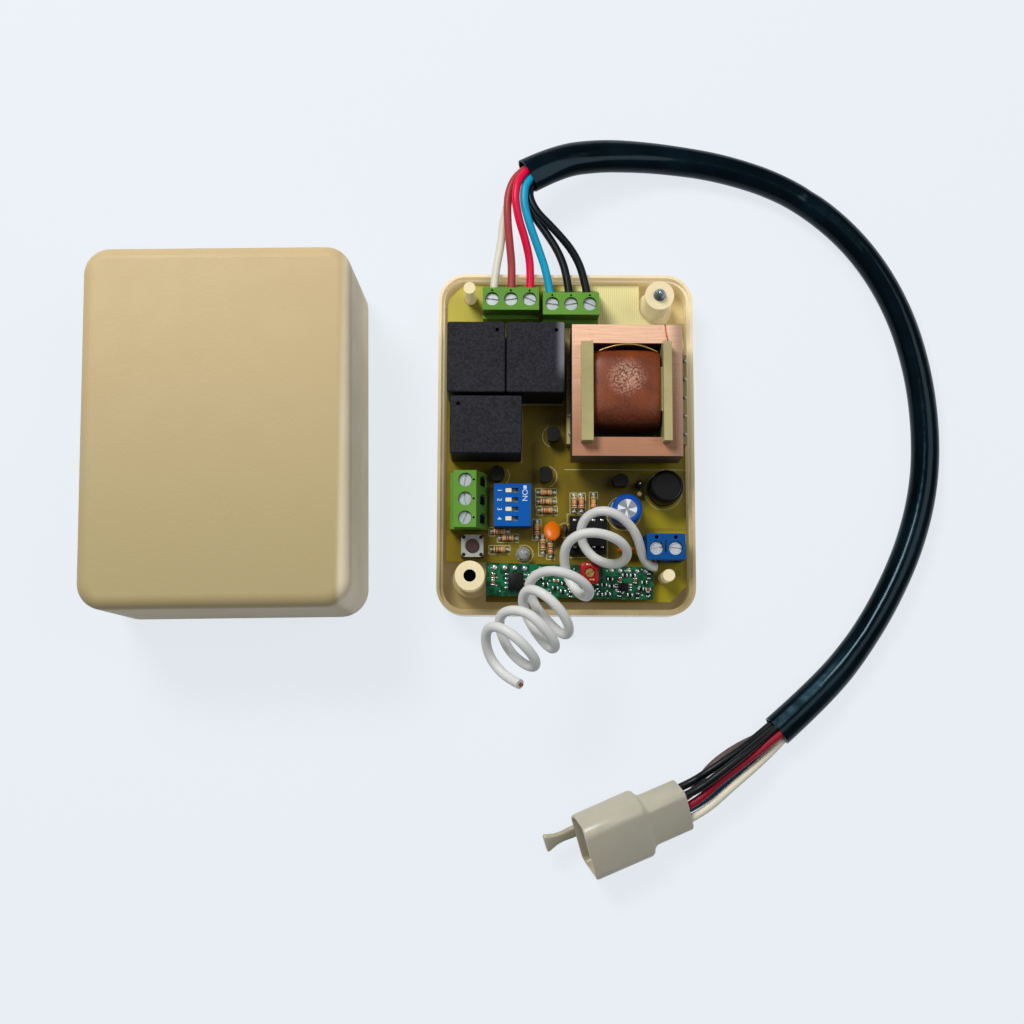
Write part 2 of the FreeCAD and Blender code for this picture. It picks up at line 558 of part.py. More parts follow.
# Relays: case, base plate with yoke, coil and hinged armature
bases = []
coils = []
for index, (x, y, turn) in enumerate((("relay_one_x", "relay_one_y", 0), ("relay_two_x", "relay_two_y", 0),
                                      ("relay_three_x", "relay_three_y", 90))):
    key = str(index + 1)
    case = new_body("relay_case_" + key)
    sketch = sketch_on(case, "RelayOutline" + key, "XY_Plane", "relay_lift")
    rectangle(sketch, "-relay_width / 2", "-relay_length / 2", "relay_width / 2", "relay_length / 2")
    box = feature(case, "Pad", "RelayBlock" + key, sketch, "relay_top - relay_lift")
    box = round_off(case, "RelayCorners" + key, box, upright, 0.6)
    box = round_off(case, "RelayTopRound" + key, box,
                    lambda edge: edge.BoundBox.ZMin > numbers["relay_top"] - 0.01, 0.4)
    sketch = sketch_on(case, "RelayHollow" + key, "XY_Plane", "relay_lift")
    rectangle(sketch, "-relay_width / 2 + relay_wall", "-relay_length / 2 + relay_wall",
              "relay_width / 2 - relay_wall", "relay_length / 2 - relay_wall")
    feature(case, "Pocket", "RelayRoom" + key, sketch, "relay_top - relay_lift - relay_wall", True)
    sketch = sketch_on(case, "RelayVent" + key, "XY_Plane", "relay_top")
    ring(sketch, "relay_width / 2 - 2.2", "relay_length / 2 - 2.2", 0.5)
    feature(case, "Pocket", "RelayVentHole" + key, sketch, "relay_wall")
    nodes["relay_case_" + key] = set_place(case, x, y, board_top, turn)
    plate = block("RelayPlate" + key, ("-relay_width / 2 + relay_wall + 0.05",
                                       "-relay_length / 2 + relay_wall + 0.05", 0),
                  ("relay_width - 2 * relay_wall - 0.1", "relay_length - 2 * relay_wall - 0.1", "relay_base"))
    yoke = block("RelayYoke" + key, ("-armature_width / 2", "yoke_shift", "relay_base"),
                 ("armature_width", "yoke_thick", "coil_height"))
    bases.append(set_place(join("RelayFoot" + key, [plate, yoke]), x, y, board_top, turn))
    winding = rod("RelayWinding" + key, (0, "coil_shift", "relay_base"), "coil_radius", "coil_height - 1.4")
    core = rod("RelayCore" + key, (0, "coil_shift", "relay_base"), "core_radius", "coil_height - armature_gap")
    coils.append(set_place(join("RelayCoil" + key, [winding, core]), x, y, board_top, turn))
    leaf = block("RelayLeaf" + key, ("-armature_width / 2", "yoke_shift + yoke_thick - armature_length",
                                    "relay_base + coil_height + 0.05"),
                 ("armature_width", "armature_length", "armature_thick"))
    holder = group("relay_armature_" + key, [leaf])
    nodes["relay_armature_" + key] = set_place(holder, x, y, board_top, turn)
nodes["relay_bases"] = group("relay_bases", bases)
nodes["relay_coils"] = group("relay_coils", coils)

# Transformer core, bobbin and winding
core_high = "core_top - core_floor"
back = block("CoreBack", ("core_left", "core_front", "core_floor"),
             ("core_back", "core_rear - core_front", core_high))
legs = []
for name, low, high in (("FrontLeg", "core_front", "core_front + core_leg"),
                        ("RearLeg", "core_rear - core_leg", "core_rear"),
                        ("Tongue", "tongue_front", "tongue_rear")):
    legs.append(block("Core" + name, ("core_left", low, "core_floor"),
                      ("core_seam - core_left", "%s - (%s)" % (high, low), core_high)))
nodes["transformer_core_e"] = join("transformer_core_e", [back] + legs)
nodes["transformer_core_i"] = block("transformer_core_i", ("core_seam", "core_front", "core_floor"),
                                    ("core_right - core_seam", "core_rear - core_front", core_high))
cheeks = []
for key, x, rail in (("Left", "core_left + core_back + 0.06", "rail_left"),
                     ("Right", "core_seam - 0.06 - cheek_thick", None)):
    cheeks.append(block("Cheek" + key, (x, "cheek_front", board_top),
                        ("cheek_thick", "cheek_rear - cheek_front", "cheek_top - %s" % board_top)))
cheeks.append(block("RailLeft", ("rail_left", "rail_front", "core_top + 0.05"),
                    ("core_left + core_back + 0.06 + cheek_thick - rail_left", "rail_rear - rail_front",
                     "cheek_top - core_top - 0.05")))
cheeks.append(block("RailRight", ("core_seam - 0.06 - cheek_thick", "rail_front", "core_top + 0.05"),
                    ("rail_right - core_seam + 0.06 + cheek_thick", "rail_rear - rail_front",
                     "cheek_top - core_top - 0.05")))
cheeks.append(block("FootLeft", ("foot_left", "cheek_front", board_top),
                    ("core_left + core_back + 0.1 - foot_left", "cheek_rear - cheek_front",
                     "core_floor - 0.05 - %s" % board_top)))
cheeks.append(block("FootRight", ("core_seam - 0.1", "cheek_front", board_top),
                    ("foot_right - core_seam + 0.1", "cheek_rear - cheek_front",
                     "core_floor - 0.05 - %s" % board_top)))
cheeks.append(block("BobbinTube", ("core_left + core_back + 0.3", "tongue_front - 0.06 - tube_wall",
                                   "core_floor - 0.06 - tube_wall"),
                    ("core_seam - core_left - core_back - 0.6", "tongue_rear - tongue_front + 0.12 + 2 * tube_wall",
                     "core_top - core_floor + 0.12 + 2 * tube_wall")))
tongue_room = block("TongueRoom", ("core_left", "tongue_front - 0.06", "core_floor - 0.06"),
                    ("core_right - core_left", "tongue_rear - tongue_front + 0.12", "core_top - core_floor + 0.12"))
nodes["transformer_bobbin"] = cut("transformer_bobbin", join("BobbinSolid", cheeks), tongue_room)
coil = new_body("transformer_winding")
sketch = sketch_on(coil, "WindingOutline", "YZ_Plane", "core_left + core_back + cheek_thick + 0.16")
rectangle(sketch, "winding_front", "winding_floor", "winding_rear", "winding_top")
turns = feature(coil, "Pad", "WindingBlock", sketch, "core_seam - core_left - core_back - 2 * cheek_thick - 0.32")
turns = round_off(coil, "WindingRound", turns,
                  lambda edge: edge.BoundBox.XLength > 10, "winding_round")
sketch = sketch_on(coil, "WindingBore", "YZ_Plane", "core_seam")
rectangle(sketch, "tongue_front - 0.1 - tube_wall", "core_floor - 0.1 - tube_wall",
          "tongue_rear + 0.1 + tube_wall", "core_top + 0.1 + tube_wall")
feature(coil, "Pocket", "WindingRoom", sketch, "core_seam - core_left")
nodes["transformer_winding"] = coil

# Row of four slide switches
dip = block("DipBlock", ("dip_left", "dip_front", board_top + " + dip_lift"),
            ("dip_length", "dip_width", "dip_top - dip_lift - " + board_top))
feet = [dip]
for index, (x, y) in enumerate((("dip_left + 0.6", "dip_front + 0.6"),
                                ("dip_left + dip_length - 1.6", "dip_front + 0.6"),
                                ("dip_left + 0.6", "dip_front + dip_width - 1.6"),
                                ("dip_left + dip_length - 1.6", "dip_front + dip_width - 1.6"))):
    feet.append(block("DipFoot%d" % (index + 1), (x, y, board_top), (1, 1, "dip_lift + 0.1")))
rooms = []
for index in range(4):
    y = "dip_middle + %.1f * dip_pitch" % (index - 1.5)
    rooms.append(block("DipSlot%d" % (index + 1), ("slot_left", y + " - slot_across / 2", "dip_top - slot_deep"),
                       ("slot_length", "slot_across", "slot_deep + 1")))
    nodes["dip_slider_%d" % (index + 1)] = block(
        "dip_slider_%d" % (index + 1), ("slider_start", y + " - slider_across / 2", "dip_top - slot_deep + 0.05"),
        ("slider_length", "slider_across", "slot_deep + 0.15"))
nodes["dip_switch_case"] = cut("dip_switch_case", join("DipSolid", feet), join("DipRooms", rooms))

# Push button
frame = block("ButtonBlock", ("-button_side / 2", "-button_side / 2", 0), ("button_side", "button_side", "button_height"))
chamber = rod("ButtonChamber", (0, 0, 1.4), 2.6, "button_height - 1.7")
mouth = rod("ButtonMouth", (0, 0, 2), "button_hole", "button_height")
nodes["button_frame"] = set_place(cut("button_frame", frame, join("ButtonRoom", [chamber, mouth])),
                                  "button_x", "button_y", board_top)
disc = rod("PlungerFlange", (0, 0, 2.4), "flange_radius", 0.8)
stem = rod("PlungerStem", (0, 0, 2.4), "stem_radius", "stem_top - 2.4")
nodes["button_plunger"] = set_place(join("button_plunger", [disc, stem]), "button_x", "button_y", board_top)

# Chip in its socket
frame = block("SocketBlock", ("-socket_length / 2", "-socket_width / 2", 0),
              ("socket_length", "socket_width", "socket_height"))
rooms = [block("SocketMiddle", ("-socket_length / 2 + 1.2", "-2.5", "-0.1"),
               ("socket_length - 2.4", 5, "socket_height + 1"))]
chip_body = block("ChipBlock", ("-chip_length / 2", "-chip_width / 2", "socket_height + 0.1"),
                  ("chip_length", "chip_width", "chip_height"))
pins = [chip_body]
for index in range(4):
    for side, key in ((1, "Rear"), (-1, "Front")):
        x = "%.1f * dip_pitch" % (index - 1.5)
        rooms.append(block("SocketHole%s%d" % (key, index), (x + " - 0.4", "%d * chip_row - 0.35" % side, 0.6),
                           (0.8, 0.7, "socket_height")))
        pins.append(block("ChipLeg%s%d" % (key, index), (x + " - 0.25", "%d * chip_row - 0.13" % side, 1.0),
                          (0.5, 0.26, "socket_height + 1.0")))
        inner = "chip_width / 2 - 0.2" if side > 0 else "-chip_row - 0.13"
        pins.append(block("ChipArm%s%d" % (key, index), (x + " - 0.6", inner, "socket_height + 1.5"),
                          (1.2, "chip_row - chip_width / 2 + 0.33", 0.3)))
nodes["chip_socket"] = set_place(cut("chip_socket", frame, join("SocketRooms", rooms)), "chip_x", "chip_y", board_top)
notch = rod("ChipNotch", ("-chip_length / 2", 0, "socket_height + chip_height - 0.2"), 0.8, 1)
nodes["controller_chip"] = set_place(cut("controller_chip", join("ChipSolid", pins), notch),
                                     "chip_x", "chip_y", board_top)

# Indicator lamp
barrel = rod("LampBarrel", (0, 0, 0.8), "lamp_radius", 3.4)
flange = rod("LampFlange", (0, 0, 0.4), "lamp_flange", 0.8)
dome = document.addObject("Part::Sphere", "LampDome")
bind(dome, "Radius", "lamp_radius")
set_place(dome, 0, 0, 4.2)
nodes["status_led"] = set_place(join("status_led", [barrel, flange, dome]), "lamp_x", "lamp_y", board_top)

# Round capacitors
cans = []
for key in ("blue_cap", "black_cap"):
    body = new_body("Can_" + key)
    sketch = sketch_on(body, key + "_profile", "XZ_Plane")
    radius = key + "_radius"
    height = key + "_height"
    outline(sketch, [(0, 0.4), (radius + " - 0.4", 0.4), (radius, 0.8), (radius, 1.5), (radius + " - 0.35", 1.9),
                     (radius, 2.3), (radius, height + " - 0.5"), (radius + " - 0.5", height),
                     (radius + " - 1", height), (radius + " - 1", height + " - 0.3"), (0, height + " - 0.3")])
    turned = body.newObject("PartDesign::Revolution", key + "_turned")
    turned.Profile = sketch
    turned.ReferenceAxis = (sketch, ["V_Axis"])
    turned.Angle = 360.0
    body.Tip = turned
    cans.append(set_place(body, key + "_x", key + "_y", board_top))
nodes["electrolytic_capacitors"] = group("electrolytic_capacitors", cans)

# Transistors, resistors, ceramic capacitors and their legs
legs = []


def leg(x, y, top):
    legs.append(rod("Leg%d" % (len(legs) + 1), (x, y, board_top), "wire_leg", "%s - %s" % (top, board_top)))


transistors = []
for index, (x, y, turn) in enumerate(((-3.68, 45.44, 90), (-5.79, 34.33, 90), (-18.77, 34.55, 90),
                                      (14.76, 32.5, 180))):
    y += front
    key = str(index + 1)
    can = rod("TransistorRound" + key, (0, 0, 1.4), 2.1, 3.6)
    flat = block("TransistorFlat" + key, (-3, 1.3, 0), (6, 3, 6))
    transistors.append(set_place(cut("Transistor" + key, can, flat), x, y, board_top, turn))
    for shift in (-1.2, 0, 1.2):
        across = shift if turn == 180 else 0
        along = 0 if turn == 180 else shift
        leg(x + across, y + along, board_top + " + 1.4")
nodes["transistors"] = group("transistors", transistors)
resistors = []
for index, (x, y, lying) in enumerate((
        (-5.35, 29.86, "x"), (-5.35, 27.33, "x"), (-5.11, 24.89, "x"), (-15.75, 17.33, "x"),
        (-18.04, 14.16, "x"), (-18.06, 19.1, "x"), (2.35, 26.92, "y"), (4.29, 26.93, "y"),
        (7.61, 27.16, "y"), (-7.88, 19.68, "y"), (-6.2, 15.43, "y"), (-4.13, 14.46, "y"))):
    y += front
    key = str(index + 1)
    dx = 1 if lying == "x" else 0
    dy = 1 - dx
    z = board_top + " + 1.1"
    half = "resistor_length / 2"
    pieces = [rod("Resistor" + key, ("%g - %d * %s" % (x, dx, half), "%g - %d * %s" % (y, dy, half), z),
                  "resistor_radius - 0.12", "resistor_length", lying)]
    for side, start in ((-1, "-" + half), (1, half + " - 0.9")):
        pieces.append(rod("Cap%s%s" % (key, "A" if side < 0 else "B"),
                          ("%g + %d * (%s)" % (x, dx, start), "%g + %d * (%s)" % (y, dy, start), z),
                          "resistor_radius", 0.9, lying))
        leg(x + dx * side * 2.25, y + dy * side * 2.25, z + " + wire_leg")
        start = "(%s)" % half if side > 0 else "(-%s - 0.85)" % half
        arm = rod("Arm%s%s" % (key, "A" if side < 0 else "B"),
                  ("%g + %d * %s" % (x, dx, start), "%g + %d * %s" % (y, dy, start), z),
                  "wire_leg", 0.85, lying)
        legs[-1] = join("BentLeg%s%s" % (key, "A" if side < 0 else "B"), [legs[-1], arm])
    resistors.append(join("ResistorJoined" + key, pieces))
resistors.append(rod("StandingDiode", (19.86, "board_bottom + 31.84", board_top + " + 0.6"), 0.9, 4.2))
leg(19.86, 31.84 + front, board_top + " + 0.6")
resistors.append(rod("Bead", (20.08, "board_bottom + 29.4", board_top + " + 0.6"), 0.7, 2.0))
leg(20.08, 29.4 + front, board_top + " + 0.6")
nodes["resistors"] = group("resistors", resistors)
discs = []


def underside(across, along, radii, lean):
    """Height, from its middle, at which an upright line meets a leaning disc from below."""
    rx, ry, rz = radii
    c, sn = math.cos(lean), math.sin(lean)
    square = (sn / ry) ** 2 + (c / rz) ** 2
    half = along * c * sn * (1 / ry ** 2 - 1 / rz ** 2)
    rest = (across / rx) ** 2 + (along * c / ry) ** 2 + (along * sn / rz) ** 2 - 1
    return (-half - math.sqrt(half * half - square * rest)) / square


for index, (x, y, radii, lean, lead_places) in enumerate((
        (-3.7, 19.2, (2.3, 0.95, 3.0), 68, ((-0.6, 1.9), (0.6, 1.9))),
        (16.35, 13.9, (2.6, 1.05, 2.4), 0, ((-0.6, 0), (0.6, 0))),
        (-0.25, 19.55, (0.85, 1.5, 1.4), 0, ((0, -0.6), (0, 0.6))))):
    y += front
    lean = math.radians(lean)
    rise = 0.6 + math.hypot(radii[2] * math.cos(lean), radii[1] * math.sin(lean))
    made = document.addObject("Part::Ellipsoid", "Disc%d" % (index + 1))
    bind(made, "Radius1", radii[2])
    bind(made, "Radius2", radii[0])
    bind(made, "Radius3", radii[1])
    discs.append(set_place(made, x, y, board_top + " + %.4f" % rise, math.degrees(lean), V(1, 0, 0)))
    for across, along in lead_places:
        rim = [underside(across + 0.25 * math.cos(step * math.pi / 8), along + 0.25 * math.sin(step * math.pi / 8),
                         radii, lean) for step in range(16)]
        leg(x + across, y + along, board_top + " + %.4f" % (rise + min(rim)))
nodes["ceramic_capacitors"] = group("ceramic_capacitors", discs)
for shift in (-0.6, 0.6):
    leg(numbers["lamp_x"] + shift, numbers["lamp_y"], board_top + " + 0.4")
    leg(numbers["blue_cap_x"] + 2 * shift, numbers["blue_cap_y"], board_top + " + 0.4")
    leg(numbers["black_cap_x"] + 2 * shift, numbers["black_cap_y"], board_top + " + 0.4")
nodes["component_leads"] = group("component_leads", legs)

# Small radio board standing over the front edge, with its parts and tuned coil
slab = block("RadioSlab", ("-radio_length / 2", "-radio_width / 2", "radio_lift"),
             ("radio_length", "radio_width", "radio_thick"))
radio = group("radio_board", [slab])
set_place(radio, "radio_x", "radio_y", board_top)
radio.Placement = FreeCAD.Placement(V(0, 0, 0), FreeCAD.Rotation(UP, numbers["radio_turn"]))
nodes["radio_board"] = radio
top = "(radio_lift + radio_thick)"
bits = []
for index, (x, y, length, width, height) in enumerate((
        (-17.0, -1.9, 5.0, 3.9, 1.5), (-10.5, -0.5, 1.2, 0.7, 0.5), (-8.0, 1.4, 1.2, 0.7, 0.5),
        (-5.5, -1.6, 2.0, 1.2, 0.7), (0.3, -2.0, 2.6, 1.4, 1.0), (9.6, 0.4, 1.2, 0.7, 0.5),
        (12.4, -1.4, 1.6, 0.8, 0.5), (15.2, 0.8, 0.8, 1.6, 0.5), (18.2, -0.9, 1.6, 0.8, 0.5))):
    bits.append(block("RadioBit%d" % (index + 1), (x, y, top), (length, width, height)))
bits.append(block("HeaderStrip", ("-9", "radio_width / 2 - 2.4", 0), (18, 2.2, "radio_lift")))
bits.append(block("HeaderStripLeft", ("-radio_length / 2 + 1", "radio_width / 2 - 2.4", 0), (5, 2.2, "radio_lift")))
bits.append(block("HeaderStripRight", ("radio_length / 2 - 6", "radio_width / 2 - 2.4", 0), (5, 2.2, "radio_lift")))
nodes["radio_parts"] = set_place(group("radio_parts", bits), "radio_x", "radio_y", board_top, numbers["radio_turn"])
former = rod("CoilFormer", (0, 0, top), "former_radius", "former_height")
bore = rod("CoilBore", (0, 0, top + " + 0.5"), "former_hole", "former_height")
nodes["tuning_coil"] = set_place(cut("tuning_coil", former, bore), "coil_x", "coil_y", board_top)
slug = rod("SlugRod", (0, 0, top + " + 0.6"), "slug_radius", "slug_height")
slot = block("SlugSlot", (-2, -0.2, top + " + slug_height + 0.1"), (4, 0.4, 1))
nodes["tuning_slug"] = set_place(cut("tuning_slug", slug, slot), "coil_x", "coil_y", board_top, 30)
document.recompute()


def value(name):
    return sheet.get(name)


def solid_feature(name, shape):
    made = document.addObject("Part::Feature", name)
    made.Shape = shape
    return made


def unit(vector):
    return V(vector).normalize()


def rounded_path(points):
    """Straight runs joined by arcs that take 0.45 of the shorter run beside each corner."""
    points = [V(*point) for point in points]
    edges = []
    radii = []
    start = points[0]
    for before, corner, after in zip(points, points[1:], points[2:]):
        arriving = corner - before
        leaving = after - corner
        reach = 0.45 * min(arriving.Length, leaving.Length)
        half = arriving.getAngle(leaving) / 2
        radius = reach / math.tan(half)
        first = corner - unit(arriving) * reach
        last = corner + unit(leaving) * reach
        inward = unit(unit(leaving) - unit(arriving))
        middle = corner + inward * (radius / math.cos(half) - radius)
        edges.append(Part.LineSegment(start, first).toShape())
        edges.append(Part.Arc(first, middle, last).toShape())
        radii.append(radius)
        start = last
    edges.append(Part.LineSegment(start, points[-1]).toShape())
    return edges, min(radii) if radii else 0


def tube(edges, diameter):
    first = edges[0]
    start = first.Vertexes[0].Point
    circle = Part.Wire([Part.makeCircle(diameter / 2, start, first.tangentAt(first.FirstParameter))])
    shell = Part.Wire(edges).makePipeShell([circle], True, False)
    length = sum(edge.Length for edge in edges)
    return shell, length


def report_tube(name, shell, length, diameter, radius):
    expected = math.pi * diameter ** 2 / 4 * length
    print("tube %s: length %.1f, least radius %.1f, volume ratio %.3f"
          % (name, length, radius, shell.Volume / expected))


# Leads from the terminals to the sleeve, then from the sleeve to the connector
left_way, right_way, pitch = n["left_block_x"], n["right_block_x"], n["way_pitch"]
upper_routes = {
    "wire_white": [(left_way - pitch + 0.28, 40.8, 12.6), (left_way - pitch + 0.88, 47.6, 12.6), (-18, 54.6, 12.4),
                   (-17.4, 61.4, 12.3), (-15.9, 68.2, 12.2), (-12.76, 74.26, 12.21), (-7.26, 77.52, 11.05)],
    "wire_brown": [(left_way + 0.1, 40.8, 12.6), (left_way + 0.4, 47.9, 12.7), (-15.6, 55.4, 13.9), (-16.3, 62.7, 15),
                   (-16, 69.6, 15.1), (-13.04, 75.43, 14.17), (-7.54, 78.69, 13.01)],
    "wire_red": [(left_way + pitch + 0.12, 40.8, 12.6), (left_way + pitch + 0.52, 48, 12.9), (-11, 55, 14.6),
                 (-13.3, 61.6, 16.4), (-14.3, 68.4, 17.2), (-12.15, 74.62, 16.13), (-6.65, 77.88, 14.97)],
    "wire_blue": [(right_way - pitch - 0.11, 39.6, 12.6), (right_way - pitch - 1.21, 46.6, 12.9), (-7.6, 53.2, 14.3),
                  (-10.15, 59.8, 15.8), (-11.95, 66.5, 16.2), (-10.98, 72.64, 16.13), (-5.48, 75.9, 14.97)],
    "wire_black_one": [(right_way - 0.09, 39.6, 12.6), (right_way - 0.79, 46.4, 12.6), (-2, 53, 12.5),
                       (-5.9, 59.2, 12.3), (-10.4, 65.4, 12.2), (-11.59, 72.28, 12.21), (-6.08, 75.54, 11.05)],
    "wire_black_two": [(right_way + pitch - 0.17, 39.6, 12.6), (right_way + pitch - 1.27, 46.4, 12.8),
                       (2, 52.9, 13.4), (-3.2, 58.8, 14.3), (-9.3, 64.8, 14.75), (-10.7, 71.47, 14.17),
                       (-5.19, 74.73, 13.01)]}
sleeve_route = [(-10.6, 74.2, 13.9), (-2.0, 79.3, 12.1), (9.0, 81.9, 9.2), (18.5, 82.8, 6.5), (29.0, 82.8, 4.3),
                (44.3, 80.6, 4.0), (61.3, 75.0, 4.0), (75.3, 65.6, 4.0), (86.3, 53.4, 4.0), (94.4, 38.2, 4.0),
                (98.9, 21.6, 4.0), (100.5, 5.2, 4.0), (99.7, -10.0, 4.0), (95.8, -25.4, 4.0), (89.3, -40.0, 4.0),
                (80.9, -53.8, 4.0), (70.2, -66.6, 4.4), (57.1, -77.8, 5.6)]
lower_routes = {
    "wire_white": [(61.48, -77.08, 5.34), (56.93, -80.97, 5.75), (51.22, -85.78, 6.7), (42.93, -92.41, 8),
                   (36.79, -99.67, 6.35), (30.38, -102.27, 7.43)],
    "wire_red": [(60.83, -76.12, 7.32), (56.28, -80.01, 7.74), (49.59, -85.17, 8.7), (40.86, -91.34, 9.9),
                 (35.81, -96.45, 8.31), (29.4, -99.05, 9.39)],
    "wire_black_one": [(59.34, -74.37, 7.32), (54.79, -78.26, 7.74), (48.01, -83.18, 10.6), (39.61, -89.52, 11.6),
                       (34.83, -93.22, 10.27), (28.43, -95.82, 11.36)],
    "wire_black_two": [(58.49, -73.59, 5.34), (53.94, -77.48, 5.75), (46.38, -82.93, 8.2), (38.01, -88.34, 8.8),
                       (33.57, -91.53, 6.87), (27.17, -94.14, 7.95)],
    "wire_brown": [(59.13, -74.55, 3.35), (54.58, -78.44, 3.77), (45.33, -82.44, 5.3), (37.41, -88.4, 5.9),
                   (34.55, -94.76, 4.91), (28.14, -97.36, 5.99)],
    "wire_blue": [(60.62, -76.3, 3.35), (56.07, -80.19, 3.77), (50.08, -86.17, 4.4), (42.08, -92.49, 5.3),
                  (35.53, -97.99, 2.95), (29.12, -100.59, 4.03)]}
lead = value("lead_diameter")
copper = value("copper_diameter")
lead_solids = {}
for name, route in upper_routes.items():
    edges, radius = rounded_path(route)
    shell, length = tube(edges, lead)
    report_tube(name + " upper", shell, length, lead, radius)
    core = Part.makeCylinder(copper / 2, 3.2, V(*route[0]), V(0, -1, 0))
    edges, radius = rounded_path(lower_routes[name])
    tail, length = tube(edges, lead)
    report_tube(name + " lower", tail, length, lead, radius)
    lead_solids[name] = [shell.fuse(core), tail]
for name in ("wire_white", "wire_brown", "wire_red", "wire_blue"):
    nodes[name] = solid_feature(name, Part.makeCompound(lead_solids[name]))
nodes["wires_black"] = solid_feature(
    "wires_black", Part.makeCompound(lead_solids["wire_black_one"] + lead_solids["wire_black_two"]))
sleeve_edges, radius = rounded_path(sleeve_route)
outer, length = tube(sleeve_edges, value("sleeve_diameter"))
report_tube("cable_sleeve", outer, length, value("sleeve_diameter"), radius)


def first_stretch(edges, depth):
    taken = []
    reached = 0.0
    for edge in edges:
        if reached >= depth:
            break
        taken.append(edge)
        reached += edge.Length
    return taken


bore, near = tube(first_stretch(sleeve_edges, 5.0), value("sleeve_bore"))
backward = [Part.LineSegment(V(*sleeve_route[-1]), V(*sleeve_route[-1])
                             + unit(V(*sleeve_route[-2]) - V(*sleeve_route[-1])) * value("bore_depth")).toShape()]
end_bore, far = tube(backward, value("sleeve_bore"))
print("sleeve bores: %.1f and %.1f deep" % (near, far))
nodes["cable_sleeve"] = solid_feature("cable_sleeve", outer.cut(bore).cut(end_bore))

# Connector, rolled about its axis, which points to its mouth
heading = math.radians(202.1)
rise = math.radians(8.9)
roll = math.radians(30.6)
along = V(math.cos(heading) * math.cos(rise), math.sin(heading) * math.cos(rise), math.sin(rise))
level = V(-math.sin(heading), math.cos(heading), 0)
over = along.cross(level)
wide = level * math.cos(roll) - over * math.sin(roll)
plug_turn = FreeCAD.Rotation(along, wide, along.cross(wide), "XYZ")
plug_at = V(31.52, -97.09, 7.23)

tail_block = block("PlugTail", (0, "-rear_width / 2", "-rear_height / 2"), ("rear_length + 0.5", "rear_width", "rear_height"))
head_block = block("PlugHead", ("rear_length", "-plug_width / 2", "-plug_height / 2"),
                   ("plug_length", "plug_width", "plug_height"))
rooms = [block("PlugRoom", ("rear_length + plug_length - plug_cavity", "-plug_width / 2 + plug_wall",
                            "-plug_height / 2 + plug_wall"),
               ("plug_cavity + 1", "plug_width - 2 * plug_wall", "plug_height - 2 * plug_wall"))]
contacts = []
for index, (column, row) in enumerate(((-1, 1), (0, 1), (1, 1), (-1, -1), (0, -1), (1, -1))):
    key = str(index + 1)
    y = "%d * way_across" % column
    z = "%d * way_level" % row
    rooms.append(rod("PlugBore" + key, (-1, y, z), "lead_diameter / 2 + 0.03", 5.2, "x"))
    rooms.append(rod("PlugWay" + key, (3, y, z), 0.75, "rear_length + plug_length - plug_cavity - 2", "x"))
    contacts.append(join("Contact" + key, [
        rod("ContactBarrel" + key, (3.05, y, z), 0.65, "rear_length + plug_length - plug_cavity - 2.5", "x"),
        block("ContactBlade" + key, ("rear_length + plug_length - plug_cavity + 0.1", y + " - 0.9", z + " - 0.35"),
              ("plug_cavity - 5.5", 1.8, 0.7))]))
latch_z = "-plug_height / 2 - 2.0"
latch_y = "latch_side - latch_width / 2"
latch = [block("LatchTongue", ("rear_length + 2", latch_y, latch_z), ("plug_length + 6", "latch_width", 1.2)),
         block("LatchRoot", ("rear_length + 2", latch_y, latch_z), (3, "latch_width", 2.4)),
         block("LatchTee", ("rear_length + plug_length + 6.4", "latch_side - latch_width", latch_z),
               (1.8, "2 * latch_width", 1.6))]
body = cut("PlugShell", join("PlugSolid", [tail_block, head_block] + latch), join("PlugRooms", rooms))
for name, shape in (("connector_housing", body), ("ContactRow", group("ContactGroup", contacts))):
    holder = group(name, [shape])
    holder.Placement = FreeCAD.Placement(plug_at, plug_turn)
    nodes["connector_contacts" if name == "ContactRow" else name] = holder

# Aerial: a stiff insulated wire wound in six leaning turns on a curved axis
aerial_axis = [V(13.66, -23.31, 18.4), V(1.71, -37.37, 31.2), V(-17.47, -58.63, 42.4)]
aerial_turns = 6
aerial_ease = 0.68
aerial_phase = math.radians(15)
loop_start = 7.3
loop_end = 6.5


def aerial_point(turns):
    share = turns / aerial_turns
    share = share + aerial_ease * share * (1 - share)
    rest = 1 - share
    low, middle, high = aerial_axis
    centre = low * (rest * rest) + middle * (2 * share * rest) + high * (share * share)
    ahead = unit((middle - low) * rest + (high - middle) * share)
    side = unit(V(-ahead.y, ahead.x, 0))
    across = ahead.cross(side)
    radius = loop_start + (loop_end - loop_start) * turns / aerial_turns
    angle = 2 * math.pi * turns + aerial_phase
    return centre + side * (radius * math.cos(angle)) + across * (radius * math.sin(angle))


def aerial_heading(turns):
    return unit(aerial_point(min(turns + 0.001, 6.0)) - aerial_point(turns - 0.001))


def arc_from(start, direction, stop):
    chord = stop - start
    angle = direction.getAngle(chord)
    sideways = direction - unit(chord) * direction.dot(unit(chord))
    middle = start + chord * 0.5 + unit(sideways) * (chord.Length / 2 * math.tan(angle / 2))
    return Part.Arc(start, middle, stop).toShape()


def biarc(start, leaving, stop, arriving):
    gap = stop - start
    both = leaving + arriving
    spread = 2 * (1 - leaving.dot(arriving))
    reach = (-gap.dot(both) + math.sqrt(gap.dot(both) ** 2 + spread * gap.dot(gap))) / spread
    joint = (start + leaving * reach + stop - arriving * reach) * 0.5
    middle = unit(joint - (start + leaving * reach))
    return [arc_from(start, leaving, joint), arc_from(joint, middle, stop)]


